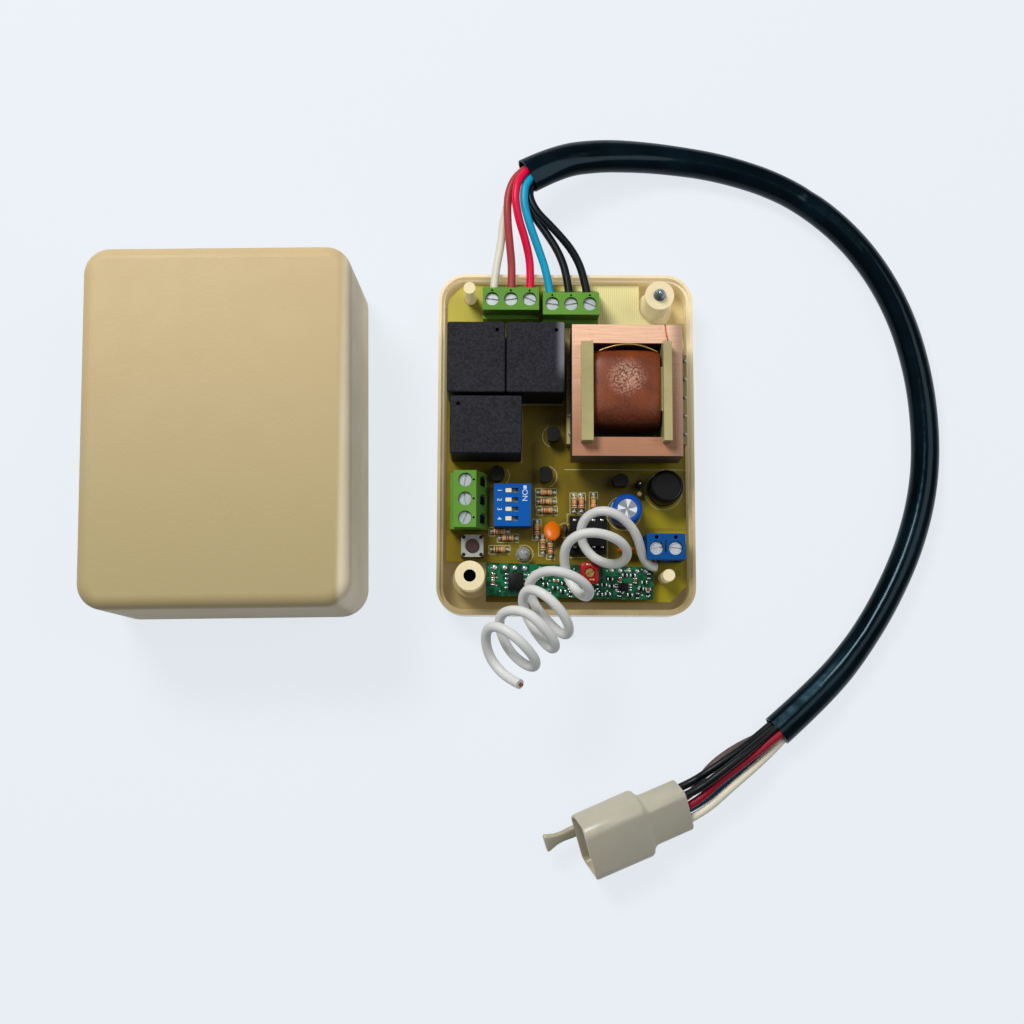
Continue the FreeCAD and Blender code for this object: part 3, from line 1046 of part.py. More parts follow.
first_turn = 0.125
knots = [(V(22.2, -33.97, 13.35), unit(V(-0.84, -0.03, 0.54))), (V(19.3, -32.75, 15.8), unit(V(-0.3, 0.75, 0.6))),
         (V(18.75, -27.6, 20.0), unit(V(-0.05, 0.72, 0.69)))]
quarters = int(aerial_turns * 4)
for index in range(1, quarters + 1):
    turns = index / 4
    if turns >= first_turn:
        knots.append((aerial_point(turns), aerial_heading(turns)))
aerial_edges = []
for (start, leaving), (stop, arriving) in zip(knots, knots[1:]):
    aerial_edges += biarc(start, leaving, stop, arriving)
wire = value("aerial_wire")
last_point, last_heading = knots[-1]
first_point, first_heading = knots[0]
root = first_point - first_heading * 0.7
begin = Part.LineSegment(root, first_point).toShape()
finish = Part.LineSegment(last_point, last_point + last_heading * wire).toShape()
aerial_edges = [begin] + aerial_edges + [finish]
aerial, length = tube(aerial_edges, wire)
tightest = min(edge.Curve.Radius for edge in aerial_edges if hasattr(edge.Curve, "Radius"))
report_tube("antenna", aerial, length, wire, tightest)
samples = []
travelled = 0.0
for edge in aerial_edges:
    count = max(2, int(edge.Length / 0.5))
    for index in range(count):
        at = edge.FirstParameter + (edge.LastParameter - edge.FirstParameter) * index / count
        samples.append((travelled + edge.Length * index / count, edge.valueAt(at)))
    travelled += edge.Length
least = min((one - two).Length for a, one in samples for b, two in samples if b - a > 12)
print("antenna least gap to itself %.2f, top %.1f" % (least - wire, aerial.BoundBox.ZMax))
bare = value("aerial_copper")
hook_x = value("aerial_block_x") - value("way_pitch") / 2
hook_start = V(hook_x, value("aerial_block_y") - value("aerial_depth") - 0.43, 12.6)
hook = [Part.LineSegment(hook_start + V(0, 3.35, 0), hook_start).toShape()]
hook += biarc(hook_start, V(0, -1, 0), root, first_heading)
hook_solid, length = tube(hook, bare)
tip = Part.makeCylinder(bare / 2, 0.3, last_point + last_heading * wire, last_heading)
nodes["antenna"] = solid_feature("antenna", Part.makeCompound([aerial, hook_solid, tip]))
document.recompute()

# Checks and export
troubles = []
for thing in document.Objects:
    if "Invalid" in thing.State or "Error" in thing.State:
        troubles.append("%s state %s" % (thing.Name, thing.State))
for name, thing in nodes.items():
    thing.Label = name
    if thing.Shape.isNull() or not thing.Shape.isValid():
        troubles.append("%s has no valid shape" % name)
print("nodes", len(nodes), "troubles", troubles)
if troubles:
    raise RuntimeError("; ".join(troubles))
os.makedirs("parts", exist_ok=True)
for name, thing in nodes.items():
    thing.Shape.exportStep("parts/%s.step" % name)
print("exported", len(nodes))
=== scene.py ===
# %% [markdown]
# # An opened radio receiver
#
# The real object is a plastic tray with a crowded circuit board, a deep cover that lies beside it, a coiled
# aerial and a sleeved harness with a nylon plug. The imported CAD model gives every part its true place, so
# this lesson only adds looks: finishes for the CAD parts, and better meshes where the eye wants more.
# All lengths are in metres. Lists of places are written in millimetres and scaled by one value, MM.

# %% Load the frame and keep its box
import math
import random

import bmesh
import bpy
from mathutils import Matrix, Vector


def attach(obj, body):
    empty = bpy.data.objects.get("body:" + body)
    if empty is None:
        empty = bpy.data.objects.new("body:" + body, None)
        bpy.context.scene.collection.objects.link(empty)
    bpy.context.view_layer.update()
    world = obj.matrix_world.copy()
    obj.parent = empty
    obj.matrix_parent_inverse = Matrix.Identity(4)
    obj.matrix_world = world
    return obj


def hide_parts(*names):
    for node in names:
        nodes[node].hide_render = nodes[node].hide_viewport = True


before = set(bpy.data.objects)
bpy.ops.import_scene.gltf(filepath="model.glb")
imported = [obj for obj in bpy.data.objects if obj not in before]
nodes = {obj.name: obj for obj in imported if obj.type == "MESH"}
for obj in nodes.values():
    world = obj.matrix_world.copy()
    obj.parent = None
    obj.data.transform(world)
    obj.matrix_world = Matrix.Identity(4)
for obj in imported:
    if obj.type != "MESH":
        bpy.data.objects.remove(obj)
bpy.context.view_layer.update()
MM = 0.001
print("CAD parts:", len(nodes))

# %% [markdown]
# ## Camera
#
# The photograph was taken from almost straight above, by hand, so the camera leans a few degrees. Its place
# was worked out from the known pitch of the terminals, pins and switches.

# %% Camera at the photograph's place
CAMERA_AT = (-17.41, -63.89, 386.79)
CAMERA_LEAN = (-0.11858, 0.00729, -0.00295)
FOCAL_PIXELS = 1397.02
FRAME_PIXELS = 1024
SENSOR = 36.0
lean_x, lean_y, roll = CAMERA_LEAN
world_to_camera = (Matrix.Rotation(roll, 3, "Z") @ Matrix.Rotation(lean_x, 3, "X")
                   @ Matrix.Rotation(lean_y, 3, "Y"))
camera_data = bpy.data.cameras.new("camera")
camera_data.sensor_width = SENSOR
camera_data.lens = FOCAL_PIXELS / FRAME_PIXELS * SENSOR
camera_data.clip_start = 0.01
camera = bpy.data.objects.new("camera", camera_data)
camera.matrix_world = Matrix.Translation(Vector(CAMERA_AT) * MM) @ world_to_camera.transposed().to_4x4()
bpy.context.scene.collection.objects.link(camera)
bpy.context.scene.camera = camera
bpy.context.scene.view_settings.view_transform = "Standard"
print("lens", round(camera_data.lens, 2), "mm")

# %% [markdown]
# ## Finishes as small sums
#
# A finish is a tree of shader nodes. Writing the sums as Python expressions keeps them readable, so one
# small class stands for a socket and turns plus, minus, times and divided by into Math nodes.


# %% A socket that can be used in sums
class Value:
    """One output socket; sums with it add Math nodes to its finish."""

    def __init__(self, finish, socket):
        self.finish = finish
        self.socket = socket

    def sum_with(self, operation, other, swapped=False):
        first, second = (other, self) if swapped else (self, other)
        return self.finish.node("ShaderNodeMath", {"operation": operation}, {0: first, 1: second})

    def __add__(self, other):
        return self.sum_with("ADD", other)

    def __sub__(self, other):
        return self.sum_with("SUBTRACT", other)

    def __mul__(self, other):
        return self.sum_with("MULTIPLY", other)

    def __truediv__(self, other):
        return self.sum_with("DIVIDE", other)

    def __rsub__(self, other):
        return self.sum_with("SUBTRACT", other, swapped=True)

    def __rtruediv__(self, other):
        return self.sum_with("DIVIDE", other, swapped=True)

    __radd__ = __add__
    __rmul__ = __mul__

    def fraction(self):
        """What is left after the whole part."""
        return self.sum_with("FRACT", 0.0)

    def step(self, low, high):
        """0 below low, 1 above high, and smooth between."""
        settings = {"interpolation_type": "SMOOTHSTEP"}
        return self.finish.node("ShaderNodeMapRange", settings, {0: self, 1: low, 2: high, 3: 0.0, 4: 1.0})


# %% [markdown]
# ## One finish, one material
#
# Each real surface has a colour, a gloss and a fine skin, and none of them is even. Such a material could be
# wired by hand in the node editor, but the same few nodes come back every time, so a class makes them. Two
# recipes follow it, for moulded plastic and for worn metal, and they cover most of the parts.


# %% A finish: one material with its own node tree
def srgb(red, green, blue):
    """A colour as read on a screen, made linear."""
    parts = [level / 255 for level in (red, green, blue)]
    return tuple(p / 12.92 if p < 0.04 else ((p + 0.055) / 1.055) ** 2.4 for p in parts) + (1.0,)


class Finish:
    """A Principled material whose colour, roughness and relief can be sums."""

    def __init__(self, name, **fixed):
        self.material = bpy.data.materials.new(name)
        self.material.use_nodes = True
        self.tree = self.material.node_tree
        self.shader = self.tree.nodes["Principled BSDF"]
        self.place = self.node("ShaderNodeTexCoord", {}, {}, "Object")
        for socket, level in fixed.items():
            self.set(socket.replace("_", " "), level)

    def node(self, kind, settings, sockets, output=0):
        made = self.tree.nodes.new(kind)
        for setting, level in settings.items():
            setattr(made, setting, level)
        for socket, level in sockets.items():
            self.feed(made.inputs[socket], level)
        return Value(self, made.outputs[output])

    def feed(self, socket, level):
        if isinstance(level, Value):
            self.tree.links.new(level.socket, socket)
        else:
            socket.default_value = level

    def set(self, name, level):
        self.feed(self.shader.inputs[name], level)

    def noise(self, grain, detail=2.0, roughness=0.5, stretch=None):
        """A cloudy value with features about as large as grain."""
        place = self.place
        if stretch:
            place = self.node("ShaderNodeVectorMath", {"operation": "MULTIPLY"}, {0: place, 1: stretch})
        sockets = {"Vector": place, "Scale": 1 / grain, "Detail": detail, "Roughness": roughness}
        return self.node("ShaderNodeTexNoise", {}, sockets, "Fac")

    def fields(self, width, uneven, output):
        """Straight-sided cells about as wide as given."""
        sockets = {"Vector": self.place, "Scale": 1 / width, "Randomness": uneven}
        return self.node("ShaderNodeTexVoronoi", {"distance": "CHEBYCHEV"}, sockets, output)

    def axis(self, letter):
        return self.node("ShaderNodeSeparateXYZ", {}, {0: self.place}, letter)

    def mix(self, mask, first, second):
        """The first colour where mask is 0, the second where it is 1."""
        return self.node("ShaderNodeMix", {"data_type": "RGBA"}, {"Factor": mask, 6: first, 7: second}, 2)

    def coat(self, colour, roughness, height, depth):
        """Feeds the colour, the roughness and a relief whose height 1 is depth metres."""
        self.set("Base Color", colour)
        self.set("Roughness", roughness)
        self.set("Normal", self.node("ShaderNodeBump", {}, {"Height": height, "Distance": depth}))


# %% Two recipes: moulded plastic and worn metal
def shade(colour, factor):
    """The same colour, darker or lighter."""
    return tuple(min(1.0, channel * factor) for channel in colour[:3]) + (1.0,)


def moulded(name, colour, roughness=0.45, grain=0.0008, depth=0.00002, mottle=0.10, **fixed):
    """Moulded plastic or dipped lacquer: faint mottling, uneven gloss and a fine skin."""
    finish = Finish(name, **{"Specular_IOR_Level": 0.25, **fixed})
    cloud = finish.noise(0.012, 3.0)
    mottled = finish.mix(cloud.step(0.3, 0.7), shade(colour, 1 - mottle), shade(colour, 1 + mottle))
    finish.coat(mottled, cloud * 0.12 + (roughness - 0.06), finish.noise(grain), depth)
    return finish


def metal(name, colour, roughness=0.3):
    """Plated or drawn metal with fine scratches and duller patches."""
    finish = Finish(name, Metallic=0.75)
    patch = finish.noise(0.002, 4.0)
    scratches = finish.noise(0.0006, 3.0, 0.6, (1.0, 0.15, 1.0))
    darkened = finish.mix(patch.step(0.35, 0.75), colour, shade(colour, 0.75))
    finish.coat(darkened, patch * 0.25 + (roughness - 0.1), scratches, 0.00001)
    return finish


# %% [markdown]
# ## Plastics of the case
#
# The cover is opaque beige with a fine pebble grain, and its colour is painted lighter towards its far end and on
# its right side, as painted light. The tray is moulded from clear cream stock, so light goes a little way into
# it. A subsurface weight stands for that soaked light, and a faint glow of its own colour is painted light that
# lifts its shaded inner walls. Its colour is painted darker low down and on the near side, with a painted
# highlight along the top of the rim.

# %% Case finishes
cover_skin = Finish("cover_skin", Specular_IOR_Level=0.25)
cloud = cover_skin.noise(0.012, 3.0)
# Painted light: the cover is lighter towards its far end, and its right side is painted paler still.
colour = cover_skin.mix(cover_skin.axis("Y").step(-0.050, 0.045), srgb(176, 159, 115), srgb(199, 175, 129))
lit_right_side = cover_skin.axis("X").step(-0.0590, -0.0572)
colour = cover_skin.mix(lit_right_side, colour, srgb(222, 208, 178))
colour = cover_skin.mix(cloud.step(0.3, 0.7) * 0.15, colour, srgb(182, 158, 112))
cover_skin.coat(colour, cloud * 0.12 + 0.42, cover_skin.noise(0.0007), 0.00004)
tray_skin = Finish("tray_skin", Subsurface_Weight=0.3, Subsurface_Scale=0.002, Coat_Weight=0.2,
                   Coat_Roughness=0.15, Emission_Strength=0.30)
cloud = tray_skin.noise(0.012, 3.0)
# Painted light and shade: lighter on the far side, darker low down, and a painted highlight along the top of the
# rim.
lit_far_side = tray_skin.axis("Y").step(-0.05, 0.045)
height = tray_skin.axis("Z")
rim_colour = tray_skin.mix(lit_far_side, srgb(150, 136, 98), srgb(222, 206, 172))
floor_colour = tray_skin.mix(lit_far_side, srgb(140, 122, 80), srgb(196, 178, 126))
colour = tray_skin.mix(height.step(0.003, 0.0095), floor_colour, rim_colour)
colour = tray_skin.mix(height.step(0.0115, 0.0135), colour, srgb(218, 204, 166))
colour = tray_skin.mix(cloud.step(0.3, 0.7) * 0.15, colour, srgb(186, 166, 112))
# Painted light: the tray glows faintly in its own colour, which lifts its shaded inner walls.
tray_skin.set("Emission Color", colour)
tray_skin.coat(colour, cloud * 0.12 + 0.2, tray_skin.noise(0.003), 0.00002)
print("case finishes:", cover_skin.material.name, tray_skin.material.name)

# %% [markdown]
# ## The bare laminate board
#
# The board is yellow-olive laminate. The weave of its glass shows as fine upright lines, and the copper
# below shows through as slightly darker fields with straight borders. Square cells from a Voronoi texture
# with the Chebychev distance make such fields without drawing each track.

# %% Board finish
board_skin = Finish("board_skin", Specular_IOR_Level=0.2, Coat_Weight=0.08, Coat_Roughness=0.2)
field_level = board_skin.node("ShaderNodeSeparateColor", {}, {0: board_skin.fields(0.009, 0.8, "Color")}, "Red")
wave = {"Vector": board_skin.place, "Scale": 560.0, "Distortion": 3.0, "Detail": 2.0, "Detail Scale": 0.4}
weave = board_skin.node("ShaderNodeTexWave", {"bands_direction": "X"}, wave, "Fac")
cloud = board_skin.noise(0.02)
blotch = cloud.step(0.3, 0.7)
far_end = board_skin.axis("Y").step(0.020, 0.031)
patch = field_level.step(0.45, 0.55) * (1 - far_end)
shaded = board_skin.mix(blotch, srgb(128, 110, 14), srgb(106, 88, 6))
olive = board_skin.mix(blotch, srgb(164, 152, 14), srgb(144, 130, 6))
bright = board_skin.mix(board_skin.axis("X").step(-0.004, 0.004), srgb(186, 174, 60), srgb(234, 224, 164))
colour = board_skin.mix(board_skin.axis("X").step(0.012, 0.026), shaded, olive)
colour = board_skin.mix(patch * 0.35, colour, srgb(98, 80, 8))
colour = board_skin.mix(far_end, colour, bright)
colour = board_skin.mix(weave.step(0.4, 0.75) * far_end * 0.40, colour, srgb(192, 178, 96))
board_skin.coat(colour, cloud * 0.15 + 0.28, weave * far_end + patch * 2, 0.00001)
print("board finish ready")

# %% [markdown]
# ## The remaining finishes
#
# Most parts need one of two recipes: moulded plastic or plated metal. A few have their own: the charcoal
# relays are dusty, the core shows its stacked laminations on its sides, and the winding's tape is glossy.

# %% Plastics and metals
green_skin = moulded("green_skin", srgb(94, 146, 46), 0.38, 0.0012, 0.00001, 0.06)
blue_skin = moulded("blue_skin", srgb(0, 74, 140), 0.45, 0.0012, 0.00001, 0.06, Specular_IOR_Level=0.1)
switch_skin = moulded("switch_skin", srgb(0, 84, 166), 0.5, 0.0012, 0.00001, 0.05, Specular_IOR_Level=0.1)
relay_dark = moulded("relay_dark", srgb(34, 34, 38), 0.7)
black_skin = moulded("black_skin", srgb(8, 7, 7), 0.45, 0.0005, mottle=0.15, Specular_IOR_Level=0.2)
slider_skin = moulded("slider_skin", srgb(226, 220, 196), 0.4, depth=0.00001, mottle=0.03)
bobbin_skin = moulded("bobbin_skin", srgb(172, 162, 114), 0.3, 0.0016, 0.00008, Subsurface_Weight=0.2,
                      Subsurface_Scale=0.001)
orange_skin = moulded("orange_skin", srgb(224, 108, 0), 0.32, 0.001, mottle=0.08)
disc_dark = moulded("disc_dark", srgb(62, 58, 48), 0.5, mottle=0.15)
coil_skin = moulded("coil_skin", srgb(168, 4, 26), 0.4, depth=0.00003)
steel_skin = metal("steel_skin", srgb(226, 232, 236), 0.26)
tin_skin = metal("tin_skin", srgb(206, 204, 196))
copper_skin = metal("copper_skin", srgb(176, 92, 52), 0.35)
brass_skin = metal("brass_skin", srgb(206, 170, 92))
print("plain finishes ready:", len(bpy.data.materials), "materials so far")

# %% [markdown]
# ## Relay cases
#
# The three relays are black plastic boxes that look charcoal, because dust and fine scratches break up their
# gloss. An image of dust could be wrapped round them, but noise gives such a speckle without any seam. The
# far end of the two twins is paler in the photograph, so the finish is paler there, by place on the board.

# %% Relay cases, dusty black, with the pale glare at the far end of the twins
relay_skin = Finish("relay_skin", Specular_IOR_Level=0.15)
dust = relay_skin.noise(0.0007, 3.0, 0.7)
glare = relay_skin.axis("X").step(-0.0036, -0.0012) * relay_skin.axis("Y").step(0.014, 0.020)
colour = relay_skin.mix(dust.step(0.35, 0.65), srgb(40, 40, 47), srgb(20, 20, 26))
colour = relay_skin.mix(glare * 0.6, colour, srgb(150, 146, 158))
relay_skin.coat(colour, relay_skin.noise(0.01) * 0.2 + 0.5, dust, 0.00003)
print("relay finish nodes:", len(relay_skin.tree.nodes))

# %% [markdown]
# ## Laminated core
#
# The core is a stack of thin steel sheets. Each sheet could be a mesh of its own, but there are dozens of
# them, half a millimetre thick, so they are lines drawn by height: the height over one sheet's thickness,
# less its whole part, starts again at every sheet. The top is brushed and lacquered, with a few rusty clouds.

# %% Laminated core, copper-lacquered on top and dark at its sides
core_skin = Finish("core_skin", Metallic=0.35)
fibre = core_skin.noise(0.0005, 2.0, 0.5, (0.06, 1.0, 1.0))
rust = core_skin.noise(0.003, 4.0, 0.65)
height = core_skin.axis("Z")
top_face = height.step(0.0246, 0.0250)
sheets = (height / 0.0005).fraction().step(0.15, 0.4)
# Painted light: the top is lighter towards its far end.
lit_far_part = core_skin.axis("Y").step(-0.006, 0.032)
# The right bar of the top is darker.
darkened = core_skin.axis("X").step(0.0262, 0.0296)
bright = core_skin.mix(lit_far_part, srgb(172, 120, 88), srgb(244, 196, 164))
bright = core_skin.mix(darkened * 0.7, bright, srgb(132, 106, 92))
bright = core_skin.mix(fibre.step(0.3, 0.7) * 0.22, bright, srgb(146, 100, 76))
bright = core_skin.mix(rust.step(0.55, 0.8) * 0.3, bright, srgb(136, 96, 74))
edges = core_skin.mix(sheets, srgb(46, 34, 28), srgb(112, 84, 66))
core_skin.coat(core_skin.mix(top_face, edges, bright), rust * 0.2 + 0.40,
               fibre * 0.5 + sheets * (1 - top_face), 0.00002)
print("core finish nodes:", len(core_skin.tree.nodes))

# %% [markdown]
# ## Winding tape
#
# Brown varnished tape covers the windings. The grains of the varnish could be modelled bumps, but they are
# too fine for a mesh. Fine noise feeds colour, gloss and relief together, so that they agree, and the one
# bright glint is a soft spot that the same noise breaks up.

# %% Glossy brown tape over the winding, granular where the light catches it
tape_skin = Finish("tape_skin", Specular_IOR_Level=0.3, Coat_Weight=0.1, Coat_Roughness=0.3)
grit = tape_skin.noise(0.0005, 3.0, 0.7)
stain = tape_skin.noise(0.005, 3.0)
from_glint = tape_skin.node("ShaderNodeVectorMath", {"operation": "DISTANCE"},
                            {0: tape_skin.place, 1: (0.0153, 0.0147, 0.0272)}, "Value")
glint = (1 - from_glint.step(0.0012, 0.0062)) * grit.step(0.40, 0.62)
colour = tape_skin.mix(stain.step(0.35, 0.7), srgb(124, 52, 8), srgb(98, 38, 2))
# Painted shade: the tape is darker towards the near side of the winding.
colour = tape_skin.mix(tape_skin.axis("Y").step(0.001, 0.011), srgb(60, 20, 0), colour)
colour = tape_skin.mix(grit.step(0.45, 0.7) * 0.35, colour, srgb(152, 74, 28))
tape_skin.coat(tape_skin.mix(glint * 0.7, colour, srgb(224, 184, 162)), grit * 0.3 + 0.3, grit, 0.00008)
print("finishes:", len(bpy.data.materials))

# %% [markdown]
# ## Dressing the CAD parts
#
# A CAD part whose shape is already right only changes its material. Parts that are replaced further down
# are left out here.


# %% Give each kept part its finish
def numbered(stem, count):
    return [stem + "_%d" % (index + 1) for index in range(count)]


def dress(finish, *names):
    for name in names:
        for slot in nodes[name].material_slots:
            slot.material = finish.material


dress(cover_skin, "cover")
dress(tray_skin, "base_tray")
dress(board_skin, "main_board")
dress(green_skin, "wire_terminal_left", "wire_terminal_right", "side_terminal")
dress(blue_skin, "antenna_terminal")
dress(switch_skin, "dip_switch_case")
dress(steel_skin, "terminal_cages", *numbered("terminal_screw", 11), *numbered("relay_armature", 3))
dress(relay_skin, *numbered("relay_case", 3))
dress(relay_dark, "relay_bases")
dress(copper_skin, "relay_coils")
dress(core_skin, "transformer_core_e", "transformer_core_i")
dress(bobbin_skin, "transformer_bobbin")
dress(slider_skin, *numbered("dip_slider", 4))
dress(black_skin, "chip_socket", "controller_chip", "transistors", "button_frame")
dress(tin_skin, "component_leads")
dress(brass_skin, "tuning_slug", "connector_contacts")
print("material slots on the CAD parts:", sum(len(node.material_slots) for node in nodes.values()))

# %% [markdown]
# ## Helpers for new meshes
#
# Four ways to make a mesh cover nearly everything here: joining rings of points, turning a profile, filling
# a mesh with rounded blocks, and following a curve with a round section.


# %% Adding a piece
def settle(piece, finishes, instead_of=()):
    """Adds a piece to the scene with its finishes and the CAD parts that it stands for."""
    for finish in finishes if isinstance(finishes, tuple) else (finishes,):
        piece.data.materials.append(finish.material)
    bpy.context.scene.collection.objects.link(piece)
    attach(piece, "receiver")
    if instead_of:
        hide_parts(*instead_of)
    return piece


def add_mesh(name, build, finishes, instead_of=(), angle=35):
    """Runs build on an empty bmesh in millimetres and settles it in metres, sharp beyond angle."""
    work = bmesh.new()
    build(work)
    bmesh.ops.recalc_face_normals(work, faces=work.faces)
    bmesh.ops.scale(work, vec=(MM, MM, MM), verts=work.verts)
    mesh = bpy.data.meshes.new(name)
    work.to_mesh(mesh)
    work.free()
    for face in mesh.polygons:
        face.use_smooth = True
    mesh.set_sharp_from_angle(angle=math.radians(angle))
    print(name + ":", len(mesh.polygons), "faces")
    return settle(bpy.data.objects.new(name, mesh), finishes, instead_of)


# %% Rings of points
def circle(steps):
    """Cosine and sine of each step round a circle."""
    angles = [2 * math.pi * step / steps for step in range(steps)]
    return [(math.cos(angle), math.sin(angle)) for angle in angles]


def bridge(work, rings, closed=False):
    """Joins each ring of vertices to the next; a closed run comes back to its first."""
    for low, high in zip(rings, rings[1:] + rings[:1] if closed else rings[1:]):
        for index in range(len(low)):
            after = (index + 1) % len(low)
            work.faces.new((low[index], low[after], high[after], high[index]))


def loft(work, rings):
    """A run of rings, closed at both ends."""
    bridge(work, rings)
    work.faces.new(rings[0][::-1])
    work.faces.new(rings[-1])


# %% Turned forms
def turned(work, profile, at, steps=32, material=0, tilt=Matrix()):
    """Turns a profile of (radius, height) about a line through at; bands may name their material."""
    matrix = Matrix.Translation(Vector(at)) @ tilt.to_4x4()
    rings = []
    for radius, height, *_ in profile:
        turns = circle(steps) if radius else [(0, 0)]
        spots = [Vector((radius * cos, radius * sin, height)) for cos, sin in turns]
        rings.append([work.verts.new(matrix @ spot) for spot in spots])
    for low, high, (radius, height, *band) in zip(rings, rings[1:], profile):
        for index in range(steps):
            after = index + 1
            corners = [low[index % len(low)], low[after % len(low)],
                       high[after % len(high)], high[index % len(high)]]
            face = work.faces.new(list(dict.fromkeys(corners)))
            face.material_index = band[0] if band else material


# %% Rounded blocks
def rounded_block(work, centre, spans, soften=0.15, material=0, turn=0.0, matrix=Matrix()):
    """A block with softened edges."""
    made = bmesh.ops.create_cube(work, size=1.0)["verts"]
    bmesh.ops.scale(work, vec=spans, verts=made)
    if soften:
        edges = list({edge for vert in made for edge in vert.link_edges})
        result = bmesh.ops.bevel(work, geom=edges, offset=soften, segments=2, affect="EDGES", profile=0.5)
        made = list({vert for face in result["faces"] for vert in face.verts} | {v for v in made if v.is_valid})
    place = Matrix.Translation(Vector(centre)) @ Matrix.Rotation(math.radians(turn), 4, "Z")
    bmesh.ops.transform(work, matrix=matrix @ place, verts=made)
    for face in {face for vert in made for face in vert.link_faces}:
        face.material_index = material


# %% Round wires
def line_piece(name, points, diameter, resolution=10, order=3):
    """A round wire whose curve has the given points, in millimetres."""
    data = bpy.data.curves.new(name, "CURVE")
    data.dimensions = "3D"
    data.bevel_depth = diameter / 2 * MM
    data.bevel_resolution = 6
    data.resolution_u = resolution
    data.use_fill_caps = True
    spline = data.splines.new("NURBS")
    spline.points.add(len(points) - 1)
    for control, point in zip(spline.points, points):
        control.co = (*(value * MM for value in point), 1.0)
    spline.order_u = order
    spline.use_endpoint_u = True
    return bpy.data.objects.new(name, data)


# %% [markdown]
# ## The harness
#
# Six leads leave the two green terminals, gather, and go into a black sleeve that curves round to the plug.
# Each free stretch is listed with its true length. The points are those of the CAD routes, and a NURBS spline
# makes one smooth line of them.


# %% Finishes of the leads and the sleeve
def lead_skin(name, near_box, near_plug):
    """Soft wire cover whose colour drifts from the box to the plug, as painted light and shade."""
    finish = Finish(name, Specular_IOR_Level=0.25)
    spots = finish.noise(0.004)
    colour = finish.mix(finish.axis("Y").step(-0.080, 0.030), near_plug, near_box)
    colour = finish.mix(spots.step(0.3, 0.7) * 0.12, colour, shade(near_plug, 0.8))
    finish.coat(colour, spots * 0.12 + 0.34, finish.noise(0.002), 0.00001)
    return finish


white_pvc = lead_skin("white_pvc", srgb(214, 208, 192), srgb(226, 220, 198))
red_pvc = lead_skin("red_pvc", srgb(226, 0, 62), srgb(150, 8, 36))
brown_pvc = lead_skin("brown_pvc", srgb(166, 58, 60), srgb(96, 74, 74))
blue_pvc = lead_skin("blue_pvc", srgb(0, 158, 198), srgb(0, 84, 112))
black_pvc = lead_skin("black_pvc", srgb(4, 12, 20), srgb(2, 8, 12))
sleeve_pvc = Finish("sleeve_pvc", Specular_IOR_Level=0.2, Specular_Tint=srgb(150, 210, 235), Coat_Weight=0.12,
                    Coat_Roughness=0.06, Coat_Tint=srgb(150, 215, 235))
drift = sleeve_pvc.noise(0.02, 3.0)
colour = sleeve_pvc.mix(drift.step(0.35, 0.7), srgb(0, 5, 10), srgb(4, 17, 26))
sleeve_pvc.coat(colour, drift * 0.2 + 0.16, sleeve_pvc.noise(0.008), 0.0003)
print("sleeve finish nodes:", len(sleeve_pvc.tree.nodes))

